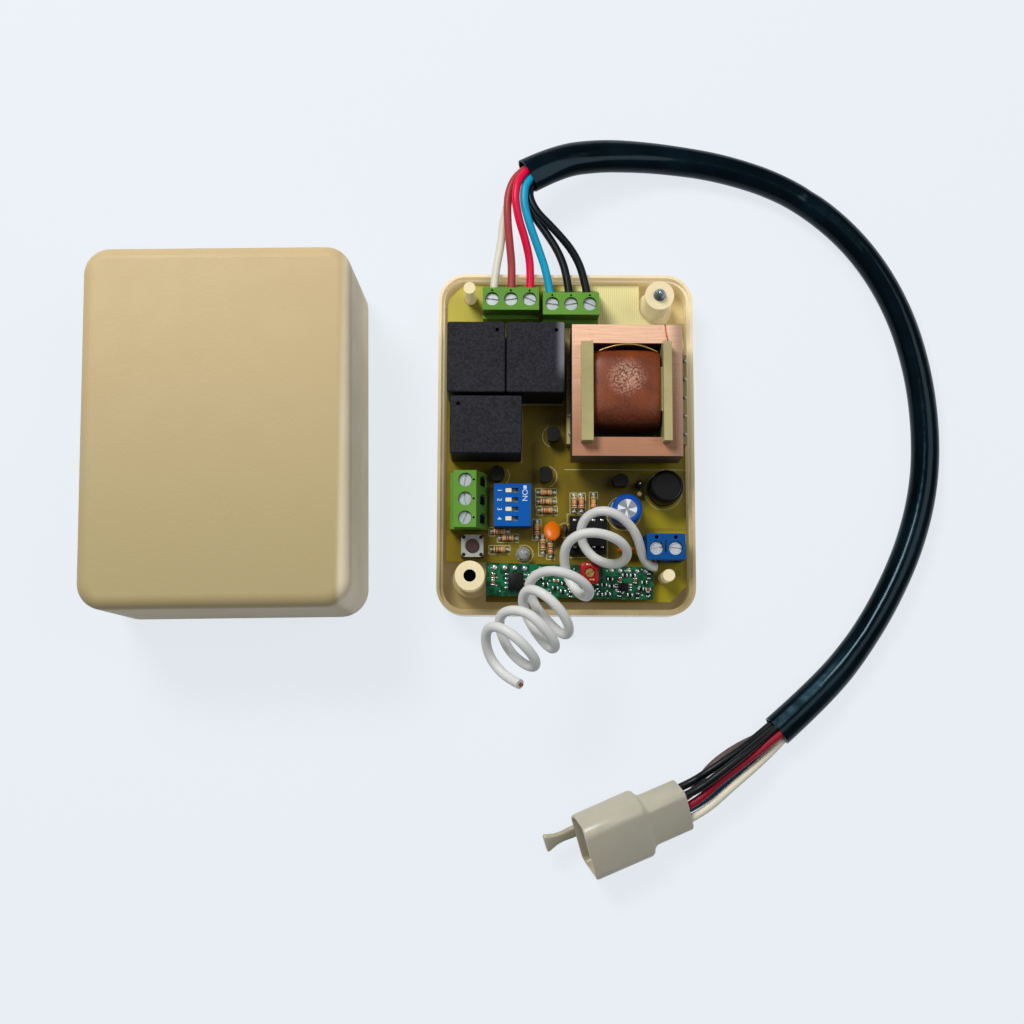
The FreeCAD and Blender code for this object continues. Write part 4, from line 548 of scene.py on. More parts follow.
# %% Leads: finish, slot, length and route to the sleeve's mouth, length and route on from its far end
LEAD = 2.2
leads = {
    "wire_white": (white_pvc, "insulation_white", 0.0408, [
        (-20.0, 40.8, 12.6), (-19.4, 47.6, 12.6), (-18.0, 54.6, 12.4), (-17.4, 61.4, 12.3), (-15.9, 68.2, 12.2),
        (-12.76, 74.26, 12.21), (-7.26, 77.52, 11.05)], 0.0406, [
        (61.48, -77.08, 5.34), (57.4, -81.4, 5.6), (51.8, -86.5, 6.6), (43.6, -93.1, 8.2), (37.0, -99.2, 6.9),
        (30.38, -102.27, 7.43)]),
    "wire_brown": (brown_pvc, "insulation_brown", 0.0419, [
        (-15.1, 40.8, 12.6), (-14.8, 47.9, 12.7), (-15.6, 55.4, 13.9), (-16.3, 62.7, 15.0), (-16.0, 69.6, 15.1),
        (-13.04, 75.43, 14.17), (-7.54, 78.69, 13.01)], 0.0396, [
        (59.13, -74.55, 3.35), (54.58, -78.44, 3.77), (45.33, -82.44, 5.3), (37.41, -88.4, 5.9),
        (34.55, -94.76, 4.91), (28.14, -97.36, 5.99)]),
    "wire_red": (red_pvc, "insulation_red", 0.0414, [
        (-10.0, 40.8, 12.6), (-9.6, 48.0, 12.9), (-11.0, 55.0, 14.6), (-13.3, 61.6, 16.4), (-14.3, 68.4, 17.2),
        (-12.15, 74.62, 15.9), (-7.4, 77.6, 13.4)], 0.0394, [
        (60.83, -76.12, 7.32), (55.9, -79.7, 7.8), (49.2, -84.8, 8.8), (40.5, -91.0, 9.9), (35.5, -96.0, 8.6),
        (29.4, -99.05, 9.39)]),
    "wire_blue": (blue_pvc, "insulation_blue", 0.0406, [
        (-4.1, 39.6, 12.6), (-5.2, 46.6, 12.9), (-7.6, 53.2, 14.3), (-10.15, 59.8, 15.8), (-11.95, 66.5, 16.2),
        (-10.98, 72.64, 15.9), (-6.6, 75.6, 13.4)], 0.0404, [
        (60.62, -76.3, 3.35), (56.07, -80.19, 3.77), (50.08, -86.17, 4.4), (42.08, -92.49, 5.3),
        (35.53, -97.99, 2.95), (29.12, -100.59, 4.03)]),
    "wire_black_one": (black_pvc, "insulation_black", 0.0414, [
        (1.0, 39.6, 12.6), (0.3, 46.4, 12.6), (-2.0, 53.0, 12.5), (-5.9, 59.2, 12.3), (-10.4, 65.4, 12.2),
        (-11.59, 72.28, 12.21), (-6.08, 75.54, 11.05)], 0.0384, [
        (59.34, -74.37, 7.32), (54.79, -78.26, 7.74), (48.01, -83.18, 10.6), (39.61, -89.52, 11.6),
        (34.83, -93.22, 10.27), (28.43, -95.82, 11.36)]),
    "wire_black_two": (black_pvc, "insulation_black", 0.0428, [
        (6.0, 39.6, 12.6), (4.9, 46.4, 12.8), (2.0, 52.9, 13.4), (-3.2, 58.8, 14.3), (-9.3, 64.8, 14.75),
        (-10.7, 71.47, 14.17), (-5.19, 74.73, 13.01)], 0.0382, [
        (58.49, -73.59, 5.34), (53.94, -77.48, 5.75), (46.38, -82.93, 8.2), (38.01, -88.34, 8.8),
        (33.57, -91.53, 6.87), (27.17, -94.14, 7.95)])}
for name, (finish, slot, _, upper_route, _, lower_route) in leads.items():
    stands_for = ("wires_black" if "black" in name else name,)
    settle(line_piece(name + "_upper", upper_route, LEAD), finish, stands_for)
    settle(line_piece(name + "_lower", lower_route, LEAD), finish, stands_for)
    x, y, z = upper_route[0]
    strands = line_piece(name + "_strands", [(x, y + 0.5, z), (x, y - 3.0, z)], 0.9, order=2)
    settle(strands, tin_skin)

# %% [markdown]
# ## The sleeve
#
# The sleeve is a soft black tube, a little flattened, with long creases and one kink on its outer side.
# It is a mesh tube that follows its own NURBS line; the section's width and height change along the way.

# %% Follow the sleeve's line
sleeve_route = [(-10.6, 74.2, 13.9), (-2.0, 79.3, 12.1), (9.0, 81.9, 9.2), (18.5, 82.8, 6.5), (29.0, 82.8, 4.3),
                (44.3, 80.6, 4.0), (61.3, 75.0, 4.0), (75.3, 65.6, 4.0), (86.3, 53.4, 4.0), (94.4, 38.2, 4.0),
                (98.9, 21.6, 4.0), (100.5, 5.2, 4.0), (99.7, -10.0, 4.0), (95.8, -25.4, 4.0), (89.3, -40.0, 4.0),
                (80.9, -53.8, 4.0), (70.2, -66.6, 4.4), (57.1, -77.8, 5.6)]


def line_points(route, resolution):
    """Points read from a route's NURBS line, in millimetres."""
    guide = line_piece("guide", route, 0.0, resolution=resolution)
    guide.data.use_fill_caps = False
    mesh = bpy.data.meshes.new_from_object(guide)
    points = [vert.co / MM for vert in mesh.vertices]
    bpy.data.meshes.remove(mesh)
    bpy.data.objects.remove(guide)
    return points


sleeve_line = line_points(sleeve_route, 14)
sleeve_length = sum((b - a).length for a, b in zip(sleeve_line, sleeve_line[1:]))
print("sleeve line:", len(sleeve_line), "points,", round(sleeve_length, 1), "mm")


# %% Build the sleeve's tube, outside and inside
def sleeve_section(share, angle):
    """Half width and half height of the flattened, creased sleeve."""
    marks = ((0.0, 5.0, 3.3), (0.04, 4.75, 3.4), (0.14, 4.55, 3.6), (0.25, 4.1, 3.7), (0.36, 3.9, 3.7),
             (0.4, 4.0, 3.6), (0.6, 3.8, 3.7), (0.9, 3.9, 3.7), (0.96, 4.2, 3.7), (1.0, 4.35, 3.7))
    for (start, wide, high), (stop, next_wide, next_high) in zip(marks, marks[1:]):
        if share <= stop:
            part = (share - start) / (stop - start)
            break
    wide += (next_wide - wide) * part
    high += (next_high - high) * part
    crease = 0.10 * math.sin(2 * angle + 5 * share) * math.sin(9 * share + 1)
    fold = -0.35 * min(1.0, share / 0.08) * math.exp(-((angle - 1.25 - 0.5 * math.sin(6 * share)) / 0.16) ** 2)
    kink = -0.30 * math.exp(-((share - 0.375) / 0.006) ** 2) * max(0.0, math.sin(angle))
    pinch = -0.35 * math.exp(-((share - 0.01) / 0.02) ** 2 - ((angle - 1.1) / 0.25) ** 2)
    change = crease + fold + kink + pinch
    return wide + change, min(high + change, 3.75)


def build_sleeve(work):
    """The outside all along, and the inside for a few points in from each mouth."""
    steps, wall, depth = 28, 0.45, 12
    last = len(sleeve_line) - 1

    def ring_at(index, thinner=0.0):
        ahead = (sleeve_line[min(index + 1, last)] - sleeve_line[max(index - 1, 0)]).normalized()
        side = ahead.cross(Vector((0, 0, 1))).normalized()
        over = side.cross(ahead)
        ring = []
        for step, (cos, sin) in enumerate(circle(steps)):
            wide, high = sleeve_section(index / last, 2 * math.pi * step / steps)
            spot = sleeve_line[index] + side * ((wide - thinner) * cos) + over * ((high - thinner) * sin)
            ring.append(work.verts.new(spot))
        return ring

    outside = [ring_at(index) for index in range(last + 1)]
    bridge(work, outside)
    for mouth, inward in ((0, 1), (last, -1)):
        inside = [ring_at(mouth + inward * count, wall) for count in range(depth)]
        bridge(work, [outside[mouth]] + inside)
        work.faces.new(inside[-1])


sleeve = add_mesh("cable_sleeve_skin", build_sleeve, sleeve_pvc, ("cable_sleeve",), 60)

# %% [markdown]
# ## The plug
#
# The plug is natural nylon, rolled about 30 degrees, with a narrow rear block, a wide front shroud whose mouth
# is open and a little scooped, and a latch tongue that flares at its end. Each is lofted through soft sections.

# %% Nylon finish
nylon = Finish("nylon", Subsurface_Weight=0.3, Subsurface_Scale=0.003)
cloud = nylon.noise(0.003)
pale_nylon = srgb(190, 186, 166)
# Painted shade: the nylon is darker towards the bottom of the plug.
colour = nylon.mix(nylon.axis("Z").step(0.003, 0.013), srgb(158, 152, 118), pale_nylon)
colour = nylon.mix(cloud.step(0.35, 0.65) * 0.2, colour, shade(pale_nylon, 0.85))
nylon.coat(colour, cloud * 0.1 + 0.3, nylon.noise(0.002), 0.00003)
print("nylon finish nodes:", len(nylon.tree.nodes))

# %% Plug frame and housing
heading, rise, tilt = math.radians(202.1), math.radians(8.9), math.radians(30.6)
along = Vector((math.cos(heading) * math.cos(rise), math.sin(heading) * math.cos(rise), math.sin(rise)))
level = Vector((-math.sin(heading), math.cos(heading), 0))
over = along.cross(level)
wide = level * math.cos(tilt) - over * math.sin(tilt)
plug_frame = Matrix((along, wide, along.cross(wide))).transposed().to_4x4()
plug_frame = Matrix.Translation(Vector((31.52, -97.09, 7.23))) @ plug_frame
REAR, FRONT = 12.1, 17.5


def build_plug(work):
    def ring_at(x, wide_span, high_span, corner, y_shift=0.0, z_shift=0.0, scoop=0.0):
        ring = []
        for quarter, (sy, sz) in enumerate(((1, 1), (-1, 1), (-1, -1), (1, -1))):
            for step in range(7):
                angle = math.pi / 2 * (quarter + step / 6)
                y = sy * (wide_span / 2 - corner) + corner * math.cos(angle)
                z = sz * (high_span / 2 - corner) + corner * math.sin(angle)
                back = scoop * (1 - (2 * z / high_span) ** 2)
                ring.append(work.verts.new(plug_frame @ Vector((x - back, y + y_shift, z + z_shift))))
        return ring

    front = REAR + FRONT
    body = [(0.0, 12.0, 7.8, 1.4), (0.4, 12.7, 8.5, 1.7), (10.4, 12.7, 8.5, 1.7), (11.2, 13.1, 8.8, 1.9),
            (11.9, 14.4, 9.6, 2.2), (12.3, 16.4, 10.4, 2.5), (13.2, 17.4, 11.0, 2.8),
            (front - 0.7, 17.4, 11.0, 3.1), (front, 16.9, 10.5, 2.8, 0.0, 0.0, 0.5),
            (front, 15.9, 9.5, 2.4, 0.0, 0.0, 0.5), (front - 0.6, 15.2, 8.8, 1.7), (front - 13.0, 14.8, 8.4, 1.5)]
    latch = [(REAR + 0.9, 2.6, 1.2, 0.4), (REAR + 1.3, 3.0, 1.6, 0.5), (front + 0.5, 3.2, 1.8, 0.6),
             (front + 3.2, 2.8, 1.7, 0.6), (front + 5.2, 3.2, 1.6, 0.5), (front + 6.8, 4.4, 1.7, 0.6),
             (front + 7.9, 5.2, 1.8, 0.6), (front + 8.3, 4.8, 1.4, 0.5)]
    loft(work, [ring_at(*station) for station in body])
    loft(work, [ring_at(*station, -1.0, -6.9) for station in latch])
    rounded_block(work, (REAR + 3.2, -1.0, -6.2), (3.4, 2.6, 2.2), 0.5, matrix=plug_frame)


plug = add_mesh("plug_housing", build_plug, nylon, ("connector_housing",), 50)

# %% [markdown]
# ## The limp pieces
#
# The leads and the sleeve are limp, so a later scene may want to bend them. They could be left as plain meshes,
# but then nothing would say how long they really are, so the table of leads lists the length of each stretch
# beside its route.

# %% [markdown]
# ## The aerial
#
# The aerial is stiff wire in thick white insulation, wound in six loose turns that lean over the tray's
# edge. The points follow the photographed loops one by one; each lies on the line of sight of its place in
# the picture, at the height that the leaning coil has there.

# %% Aerial wire with its bare ends
AERIAL = 2.5
aerial_points = [
    (24.0, -34.15, 12.9), (22.4, -34.0, 13.5), (21.0, -33.0, 14.9), (19.6, -30.4, 17.4), (18.6, -27.0, 20.6),
    (15.9, -23.3, 23.4),
    (11.7, -20.7, 25.9), (7.7, -20.1, 24.7), (4.5, -21.8, 22.4), (3.3, -24.4, 20.6), (3.7, -28.0, 18.4),
    (5.8, -31.1, 17.4), (8.7, -33.2, 17.9), (12.1, -34.3, 20.4), (14.8, -33.4, 23.7), (15.4, -31.3, 26.7),
    (13.7, -29.1, 29.4), (10.3, -27.5, 31.5), (6.5, -26.8, 32.6), (3.0, -27.0, 32.0), (0.3, -28.3, 30.4),
    (-1.2, -30.5, 28.3), (-1.3, -33.3, 25.8), (-0.7, -36.4, 23.6), (0.6, -39.3, 23.4), (2.5, -42.0, 25.9),
    (4.4, -43.5, 29.3), (5.4, -42.0, 32.5), (3.3, -39.8, 35.4), (0.4, -38.2, 37.3), (-3.0, -37.1, 37.6),
    (-6.7, -36.9, 35.9), (-9.3, -38.1, 33.4), (-10.5, -39.9, 31.1), (-10.3, -42.3, 28.9), (-8.5, -45.9, 27.8),
    (-5.6, -49.4, 29.1), (-2.7, -52.5, 32.3), (-0.8, -53.2, 35.1), (-0.3, -51.6, 37.2), (-1.6, -48.5, 40.0),
    (-4.8, -44.8, 41.7), (-8.2, -42.3, 40.6), (-11.0, -41.4, 37.9), (-12.4, -43.7, 34.6), (-11.5, -47.3, 32.2),
    (-9.3, -51.5, 32.3), (-6.7, -55.1, 35.4), (-4.8, -56.9, 38.6), (-3.8, -56.0, 40.4), (-5.0, -53.8, 42.6),
    (-7.7, -50.7, 44.6), (-10.6, -48.1, 44.7), (-14.0, -47.0, 42.7), (-17.5, -47.5, 39.4), (-18.3, -50.7, 36.2),
    (-16.4, -55.4, 34.4), (-14.6, -58.0, 34.9), (-11.8, -60.4, 37.6), (-9.2, -61.5, 40.9), (-8.7, -59.7, 43.2),
    (-11.0, -56.8, 46.0), (-13.9, -53.9, 47.2), (-17.7, -51.4, 45.6), (-20.4, -51.1, 42.9), (-21.6, -53.4, 39.9),
    (-20.8, -57.8, 36.9), (-18.6, -61.3, 36.5), (-15.7, -64.0, 38.5), (-12.8, -65.3, 41.4)]
aerial_skin = moulded("aerial_skin", srgb(212, 212, 208), 0.42, 0.0015, mottle=0.05)
aerial = line_piece("aerial_wire", aerial_points, AERIAL, resolution=6, order=4)
settle(aerial, aerial_skin, ("antenna",))
hook_points = [(23.66, -29.6, 12.6), (23.66, -32.4, 12.6), (23.75, -34.0, 12.5), (23.6, -34.15, 12.9)]
settle(line_piece("aerial_hook", hook_points, 1.2), copper_skin)
tip_points = [(-13.2, -65.15, 41.0), (-12.3, -65.5, 41.9)]
settle(line_piece("aerial_tip", tip_points, 0.9, order=2), copper_skin)
print("aerial points:", len(aerial_points))

# %% [markdown]
# ## Transformer details
#
# The taped winding bulges between the bobbin's cheeks, and one end of its fine wire lies as a gold arc along
# the far edge. The tape's swell is a lofted barrel, so the light runs over it softly.


# %% Taped winding and its loose wire
def build_winding(work):
    left, right, columns, squareness = 6.55, 24.1, 24, 0.42
    rings = []
    for column in range(columns + 1):
        share = column / columns
        swell = 0.55 * (1 - (2 * share - 1) ** 4) - 0.35
        ring = []
        for cos, sin in circle(48):
            y = 12.3 + (10.4 + swell) * math.copysign(abs(cos) ** squareness, cos)
            z = 18.85 + (8.2 + swell) * math.copysign(abs(sin) ** squareness, sin)
            ring.append(work.verts.new((left + (right - left) * share, y, z)))
        rings.append(ring)
    loft(work, rings)


add_mesh("taped_winding", build_winding, tape_skin, ("transformer_winding",), 50)
gold_arc = [(8.2, 22.3, 25.2), (11.5, 23.5, 25.6), (15.9, 24.0, 25.9), (20.2, 23.5, 25.6), (23.6, 22.0, 25.0)]
settle(line_piece("winding_end", gold_arc, 0.4), brass_skin)
seam_wire = [(25.7, 29.4, 25.15), (25.8, 27.6, 25.2), (26.2, 25.6, 25.4), (26.0, 24.6, 27.0)]
settle(line_piece("seam_wire", seam_wire, 0.3), copper_skin)
PITCH = 5.08


def build_pins(work):
    for x in (0.95, 32.4):
        for index in range(5):
            turned(work, [(0, 12.6), (0.45, 12.6), (0.45, 13.2), (0.25, 13.6), (0, 13.6)],
                   (x, 22.4 - PITCH * index, 0), 10)


add_mesh("bobbin_pins", build_pins, tin_skin)

# %% [markdown]
# ## Small parts on the board
#
# Resistors are thin-waisted lacquered bodies with colour bands, turned from one profile. Each band is its
# own material, chosen per resistor, so no texture is needed.

# %% Resistor finishes and places
BOARD_TOP = 8.0
tan_body = moulded("tan_body", srgb(206, 168, 120), 0.35, depth=0.00001, mottle=0.08)
band_colours = {"black": (24, 20, 18), "brown": (96, 50, 26), "red": (176, 40, 26), "orange": (220, 110, 30),
                "yellow": (216, 176, 50), "violet": (96, 60, 110), "gold": (170, 126, 54)}
bands = [moulded("band_" + name, srgb(*shown), 0.35, depth=0.00001, mottle=0.05)
         for name, shown in band_colours.items()]
band_code = {name: index + 1 for index, name in enumerate(band_colours)}
resistor_places = [
    (-5.35, -13.44, "x", "orange orange brown"), (-5.35, -15.97, "x", "brown black orange"),
    (-5.11, -18.41, "x", "brown red red"), (-15.75, -25.97, "x", "yellow violet brown"),
    (-18.04, -29.14, "x", "brown black red"), (-18.06, -24.2, "x", "red red brown"),
    (2.35, -16.38, "y", "brown black orange"), (4.29, -16.37, "y", "red violet orange"),
    (7.61, -16.14, "y", "orange orange yellow"), (-7.88, -23.62, "y", "brown black orange"),
    (-6.2, -27.87, "y", "brown red black"), (-4.13, -28.84, "y", "red red black")]
print("resistors:", len(resistor_places))


# %% Resistor bodies
def resistor_ends(x, y, lying, reach, height):
    """The two places at reach from a resistor's middle, along its body."""
    return [(x + side, y, height) if lying == "x" else (x, y + side, height) for side in (-reach, reach)]


def build_resistors(work):
    height = BOARD_TOP + 1.1
    for x, y, lying, colours in resistor_places:
        first, second, third = (band_code[name] for name in colours.split())
        lay = Matrix.Rotation(math.pi / 2, 3, "Y") if lying == "x" else Matrix.Rotation(-math.pi / 2, 3, "X")
        profile = [(0, -1.65), (0.5, -1.62), (0.8, -1.42), (0.84, -1.2, first), (0.84, -0.9), (0.72, -0.7),
                   (0.68, -0.5, second), (0.68, -0.2), (0.68, 0.05, third), (0.68, 0.35), (0.72, 0.7),
                   (0.84, 0.85, band_code["gold"]), (0.84, 1.15), (0.8, 1.42), (0.5, 1.62), (0, 1.65)]
        turned(work, profile, (x, y, height), 16, 0, lay)
        for spot in resistor_ends(x, y, lying, 1.95, height):
            turned(work, [(0, -0.35), (0.25, -0.35), (0.25, 0.35), (0, 0.35)], spot, 8, len(bands) + 1, lay)


add_mesh("banded_resistors", build_resistors, (tan_body, *bands, tin_skin), ("resistors",))

# %% [markdown]
# ## Standing diode and bead
#
# A small diode stands on end, with a bead of tan lacquer beside it. Both are round, so they are turned from
# profiles as the resistors are, and they share one mesh, because neither moves.


# %% Standing diode and bead
def build_standing(work):
    diode, bead = (19.86, -11.46, BOARD_TOP), (20.08, -13.9, BOARD_TOP)
    turned(work, [(0, 0.6), (0.75, 0.6), (0.9, 0.8), (0.9, 4.4), (0.7, 4.75), (0, 4.8)], diode, 20)
    turned(work, [(0, 0.5), (0.45, 0.55), (0.7, 1.0), (0.75, 1.6), (0.6, 2.3), (0, 2.6)], bead, 20, 1)
    turned(work, [(0, 4.6), (0.25, 4.7), (0.25, 5.5), (0, 5.6)], diode, 8, 2)


add_mesh("standing_diode", build_standing, (black_skin, tan_body, tin_skin))

# %% [markdown]
# ## Round capacitors
#
# The blue capacitor shows a small silver lid inside the rolled edge of its sleeve. A radial gradient, cut into
# four, paints light and dark quarters on the lid, a painted reflection on the faces of its scored vent, and thin
# dark blocks are painted shade in the scored lines. The black one stands beside it.

# %% Capacitors
BLUE_CAN, BLACK_CAN = (15.9, -19.02), (26.8, -12.7)
can_blue = moulded("can_blue", srgb(0, 72, 168), 0.3, 0.001, 0.00001, 0.05)
can_stripe = moulded("can_stripe", srgb(132, 176, 220), 0.4, 0.001, 0.00001, 0.05)
can_black = moulded("can_black", srgb(4, 4, 4), 0.45, 0.001, 0.00003, Specular_IOR_Level=0.2)
lid_silver = Finish("lid_silver", Metallic=0.6)
grain = lid_silver.noise(0.0004, 3.0)
lid_middle = (BLUE_CAN[0] * MM, BLUE_CAN[1] * MM, 0.0)
from_middle = lid_silver.node("ShaderNodeVectorMath", {"operation": "SUBTRACT"},
                              {0: lid_silver.place, 1: lid_middle})
turn_share = lid_silver.node("ShaderNodeTexGradient", {"gradient_type": "RADIAL"},
                             {"Vector": from_middle}, "Fac")
# Painted reflection: light and dark quarters across the lid.
sector = (turn_share * 4 + 0.2).fraction()
sector = sector.step(0.30, 0.42) * (1 - sector.step(0.86, 0.98))
colour = lid_silver.mix(sector, srgb(232, 236, 240), srgb(140, 146, 152))
lid_silver.coat(colour, grain * 0.2 + 0.3, grain, 0.00002)


def build_cans(work):
    cans = ((BLUE_CAN, 4.05, 2.6, 11.0, 0, 2), (BLACK_CAN, 4.5, 3.5, 9.0, 1, 1))
    for spot, radius, inner, height, code, lid in cans:
        profile = [(0, 0.4), (radius - 0.4, 0.4), (radius, 0.8), (radius, 1.5), (radius - 0.35, 1.9),
                   (radius, 2.3), (radius, height - 0.9), (radius - 0.25, height - 0.3), (radius - 0.7, height),
                   (inner + 0.15, height - 0.05), (inner, height - 0.3, lid), (0, height - 0.3)]
        turned(work, profile, (*spot, BOARD_TOP), 48, code)
    x, y = BLUE_CAN
    # Painted shade: thin dark blocks in the scored lines of the vent.
    for turn in (12, 100, 190, 280):
        angle = math.radians(turn)
        spot = (x + 1.3 * math.cos(angle), y + 1.3 * math.sin(angle), BOARD_TOP + 10.71)
        rounded_block(work, spot, (2.4, 0.12, 0.05), 0, 3, turn)
    rounded_block(work, (11.95, -18.2, BOARD_TOP + 6.2), (0.25, 2.0, 7.6), 0.1, 4, -12)


can_finishes = (can_blue, can_black, lid_silver, relay_dark, can_stripe)
add_mesh("round_capacitors", build_cans, can_finishes, ("electrolytic_capacitors",), 30)

# %% [markdown]
# ## Dipped disc capacitors
#
# These discs are dipped in lacquer, so they are thickest in the middle and never quite even. A turned lens
# would be too perfect. A sphere squashed to the disc's spans is close, and a slow ripple and a narrower foot
# give it the dipped look.


# %% Orange discs and the dark one, dipped and slightly uneven
def build_discs(work):
    for place, spans, lean, code in (((-3.7, -24.1, 10.03), (2.3, 0.95, 3.0), 68, 0),
                                     ((16.35, -29.4, 11.0), (2.6, 1.05, 2.4), 0, 0),
                                     ((-0.25, -23.75, 10.0), (0.8, 1.4, 1.35), 0, 1)):
        made = bmesh.ops.create_uvsphere(work, u_segments=32, v_segments=20, radius=1.0)["verts"]
        tip_over = Matrix.Rotation(math.radians(lean), 3, "X")
        for vert in made:
            x, y, z = vert.co
            ripple = 1 + 0.03 * math.sin(5 * x + 3 * z)
            skirt = 0.8 if z < -0.7 else 1.0
            spot = Vector((spans[0] * x * ripple * skirt, spans[1] * y * ripple, spans[2] * z))
            vert.co = Vector(place) + tip_over @ spot
        for face in {face for vert in made for face in vert.link_faces}:
            face.material_index = code


add_mesh("disc_capacitors", build_discs, (orange_skin, disc_dark),
         ("ceramic_capacitors",), 80)

# %% [markdown]
# ## Indicator lamp
#
# The lamp is clear resin, so it passes light and shows its bright little cup. It could be a flat white dot
# from this height, but its dome bends the light of the board below, so it is a turned form in a clear finish.

# %% Clear lamp
lens = Finish("lens", Transmission_Weight=0.85, IOR=1.5)
haze = lens.noise(0.0008)
lens.set("Base Color", lens.mix(haze, srgb(250, 252, 248), srgb(236, 240, 232)))
lens.set("Roughness", haze * 0.1 + 0.03)


def build_lens(work):
    radius, shoulder = 1.5, 4.2
    profile = [(0, 0.4), (1.95, 0.4), (1.95, 1.2), (1.55, 1.25), (radius, 1.4), (radius, shoulder)]
    for degrees in (15, 30, 45, 60, 75):
        angle = math.radians(degrees)
        profile.append((radius * math.cos(angle), shoulder + radius * math.sin(angle)))
    turned(work, profile + [(0, shoulder + radius)], (-11.71, -30.36, BOARD_TOP), 36)


def build_cup(work):
    turned(work, [(0, 0.9), (0.5, 0.9), (0.55, 2.2), (0.95, 2.9), (0.8, 2.9), (0.35, 2.4), (0, 2.4)],
           (-11.9, -30.36, BOARD_TOP), 20)
    rounded_block(work, (-10.9, -30.36, BOARD_TOP + 1.7), (0.3, 0.6, 1.8), 0.05)


add_mesh("lamp_lens", build_lens, lens, ("status_led",))
add_mesh("lamp_cup", build_cup, steel_skin)

# %% [markdown]
# ## Push button
#
# The button is a dark frame under a metal plate with a round hole. Four dark rivets hold the plate, and the
# brown cap stands in the hole. The hole could be cut with a boolean, but a closed run of rings, square
# outside and round inside, gives the same plate with even faces.

# %% Button plate, rivets and cap
plate_skin = metal("plate_skin", srgb(168, 168, 162), 0.42)
cap_brown = moulded("cap_brown", srgb(64, 44, 38), 0.42)


def build_plate(work):
    x, y, top = -25.34, -28.42, BOARD_TOP + 3.6
    half, hole, rivet = 3.0, 1.9, 2.35
    rings = []
    for height, inner in ((0.002, False), (0.2, False), (0.2, True), (0.002, True)):
        ring = []
        for cos, sin in circle(48):
            reach = hole if inner else min(half / max(abs(cos), abs(sin)), half * 1.30)
            ring.append(work.verts.new((x + reach * cos, y + reach * sin, top + height)))
        rings.append(ring)
    bridge(work, rings, closed=True)
    for dx in (-rivet, rivet):
        for dy in (-rivet, rivet):
            turned(work, [(0, 0), (0.55, 0), (0.5, 0.3), (0, 0.38)], (x + dx, y + dy, top), 14, 1)


add_mesh("button_plate", build_plate, (plate_skin, black_skin), angle=30)
dress(cap_brown, "button_plunger")

# %% [markdown]
# ## Marks on the switch block
#
# The switch block carries the numbers 1 to 4 and ON in white print. An image could hold them, but a text
# curve turned into a thin mesh stays sharp at any distance and needs no file. The floors of the slots are
# pale grey, and thin plates below the sliders show that.

# %% Switch numbers and ON mark, printed white
print_white = moulded("print_white", srgb(206, 224, 240), 0.5)
slot_grey = moulded("slot_grey", srgb(150, 160, 158), 0.5)
SWITCH_TOP = 14.02
SWITCH_PITCH = 2.54


def printed(name, words, x, y, height):
    """Letters as a thin raised print, read from the right; generic marks only."""
    data = bpy.data.curves.new(name, "FONT")
    data.body = words
    data.size = height * 1.4 * MM
    data.extrude = 0.03 * MM
    data.align_x = "CENTER"
    data.align_y = "CENTER"
    flat = bpy.data.objects.new(name + "_outline", data)
    mesh = bpy.data.meshes.new_from_object(flat)
    bpy.data.objects.remove(flat)
    turn = Matrix.Rotation(math.radians(-90), 4, "Z")
    mesh.transform(Matrix.Translation(Vector((x, y, SWITCH_TOP)) * MM) @ turn)
    mesh.name = name
    settle(bpy.data.objects.new(name, mesh), print_white)


def build_print_square(work):
    rounded_block(work, (-11.2, -12.7, SWITCH_TOP), (0.9, 0.9, 0.04), 0)


def build_slot_floors(work):
    for index in range(4):
        rounded_block(work, (-13.95, -17.4 + SWITCH_PITCH * (index - 1.5), 12.42), (1.7, 1.2, 0.03), 0)


for index, name in enumerate(numbered("switch_number", 4)):
    printed(name, str(index + 1), -18.1, -13.6 - SWITCH_PITCH * index, 1.2)
printed("switch_on_mark", "ON", -11.3, -14.9, 1.5)
add_mesh("switch_square", build_print_square, print_white)
add_mesh("switch_slot_floors", build_slot_floors, slot_grey)

# %% [markdown]
# ## The small radio board
#
# The narrow green board is the busiest part. Chips with splayed legs, tiny resistors with bright ends and a
# row of solder blobs are scattered by a seeded random draw, so every run gives the same board.

# %% Radio board finishes and frame
mask_green = Finish("mask_green", Specular_IOR_Level=0.25, Coat_Weight=0.15, Coat_Roughness=0.15)
tracks = mask_green.fields(0.0016, 1.0, "Distance").step(0.42, 0.5)
cloud = mask_green.noise(0.006)
colour = mask_green.mix(tracks, mask_green.mix(cloud, srgb(2, 76, 44), srgb(0, 50, 30)), srgb(12, 104, 64))
mask_green.coat(colour, cloud * 0.1 + 0.25, tracks, 0.00003)
dress(mask_green, "radio_board")
solder = metal("solder", srgb(214, 216, 216), 0.22)
chip_black = moulded("chip_black", srgb(8, 8, 10), 0.5, Specular_IOR_Level=0.2)
ceramic_tan = moulded("ceramic_tan", srgb(150, 90, 50), 0.4)
radio_frame = Matrix.Translation(Vector((0.95, -37.9, 11.5))) @ Matrix.Rotation(math.radians(-1.4), 4, "Z")
print("radio board finish nodes:", len(mask_green.tree.nodes))


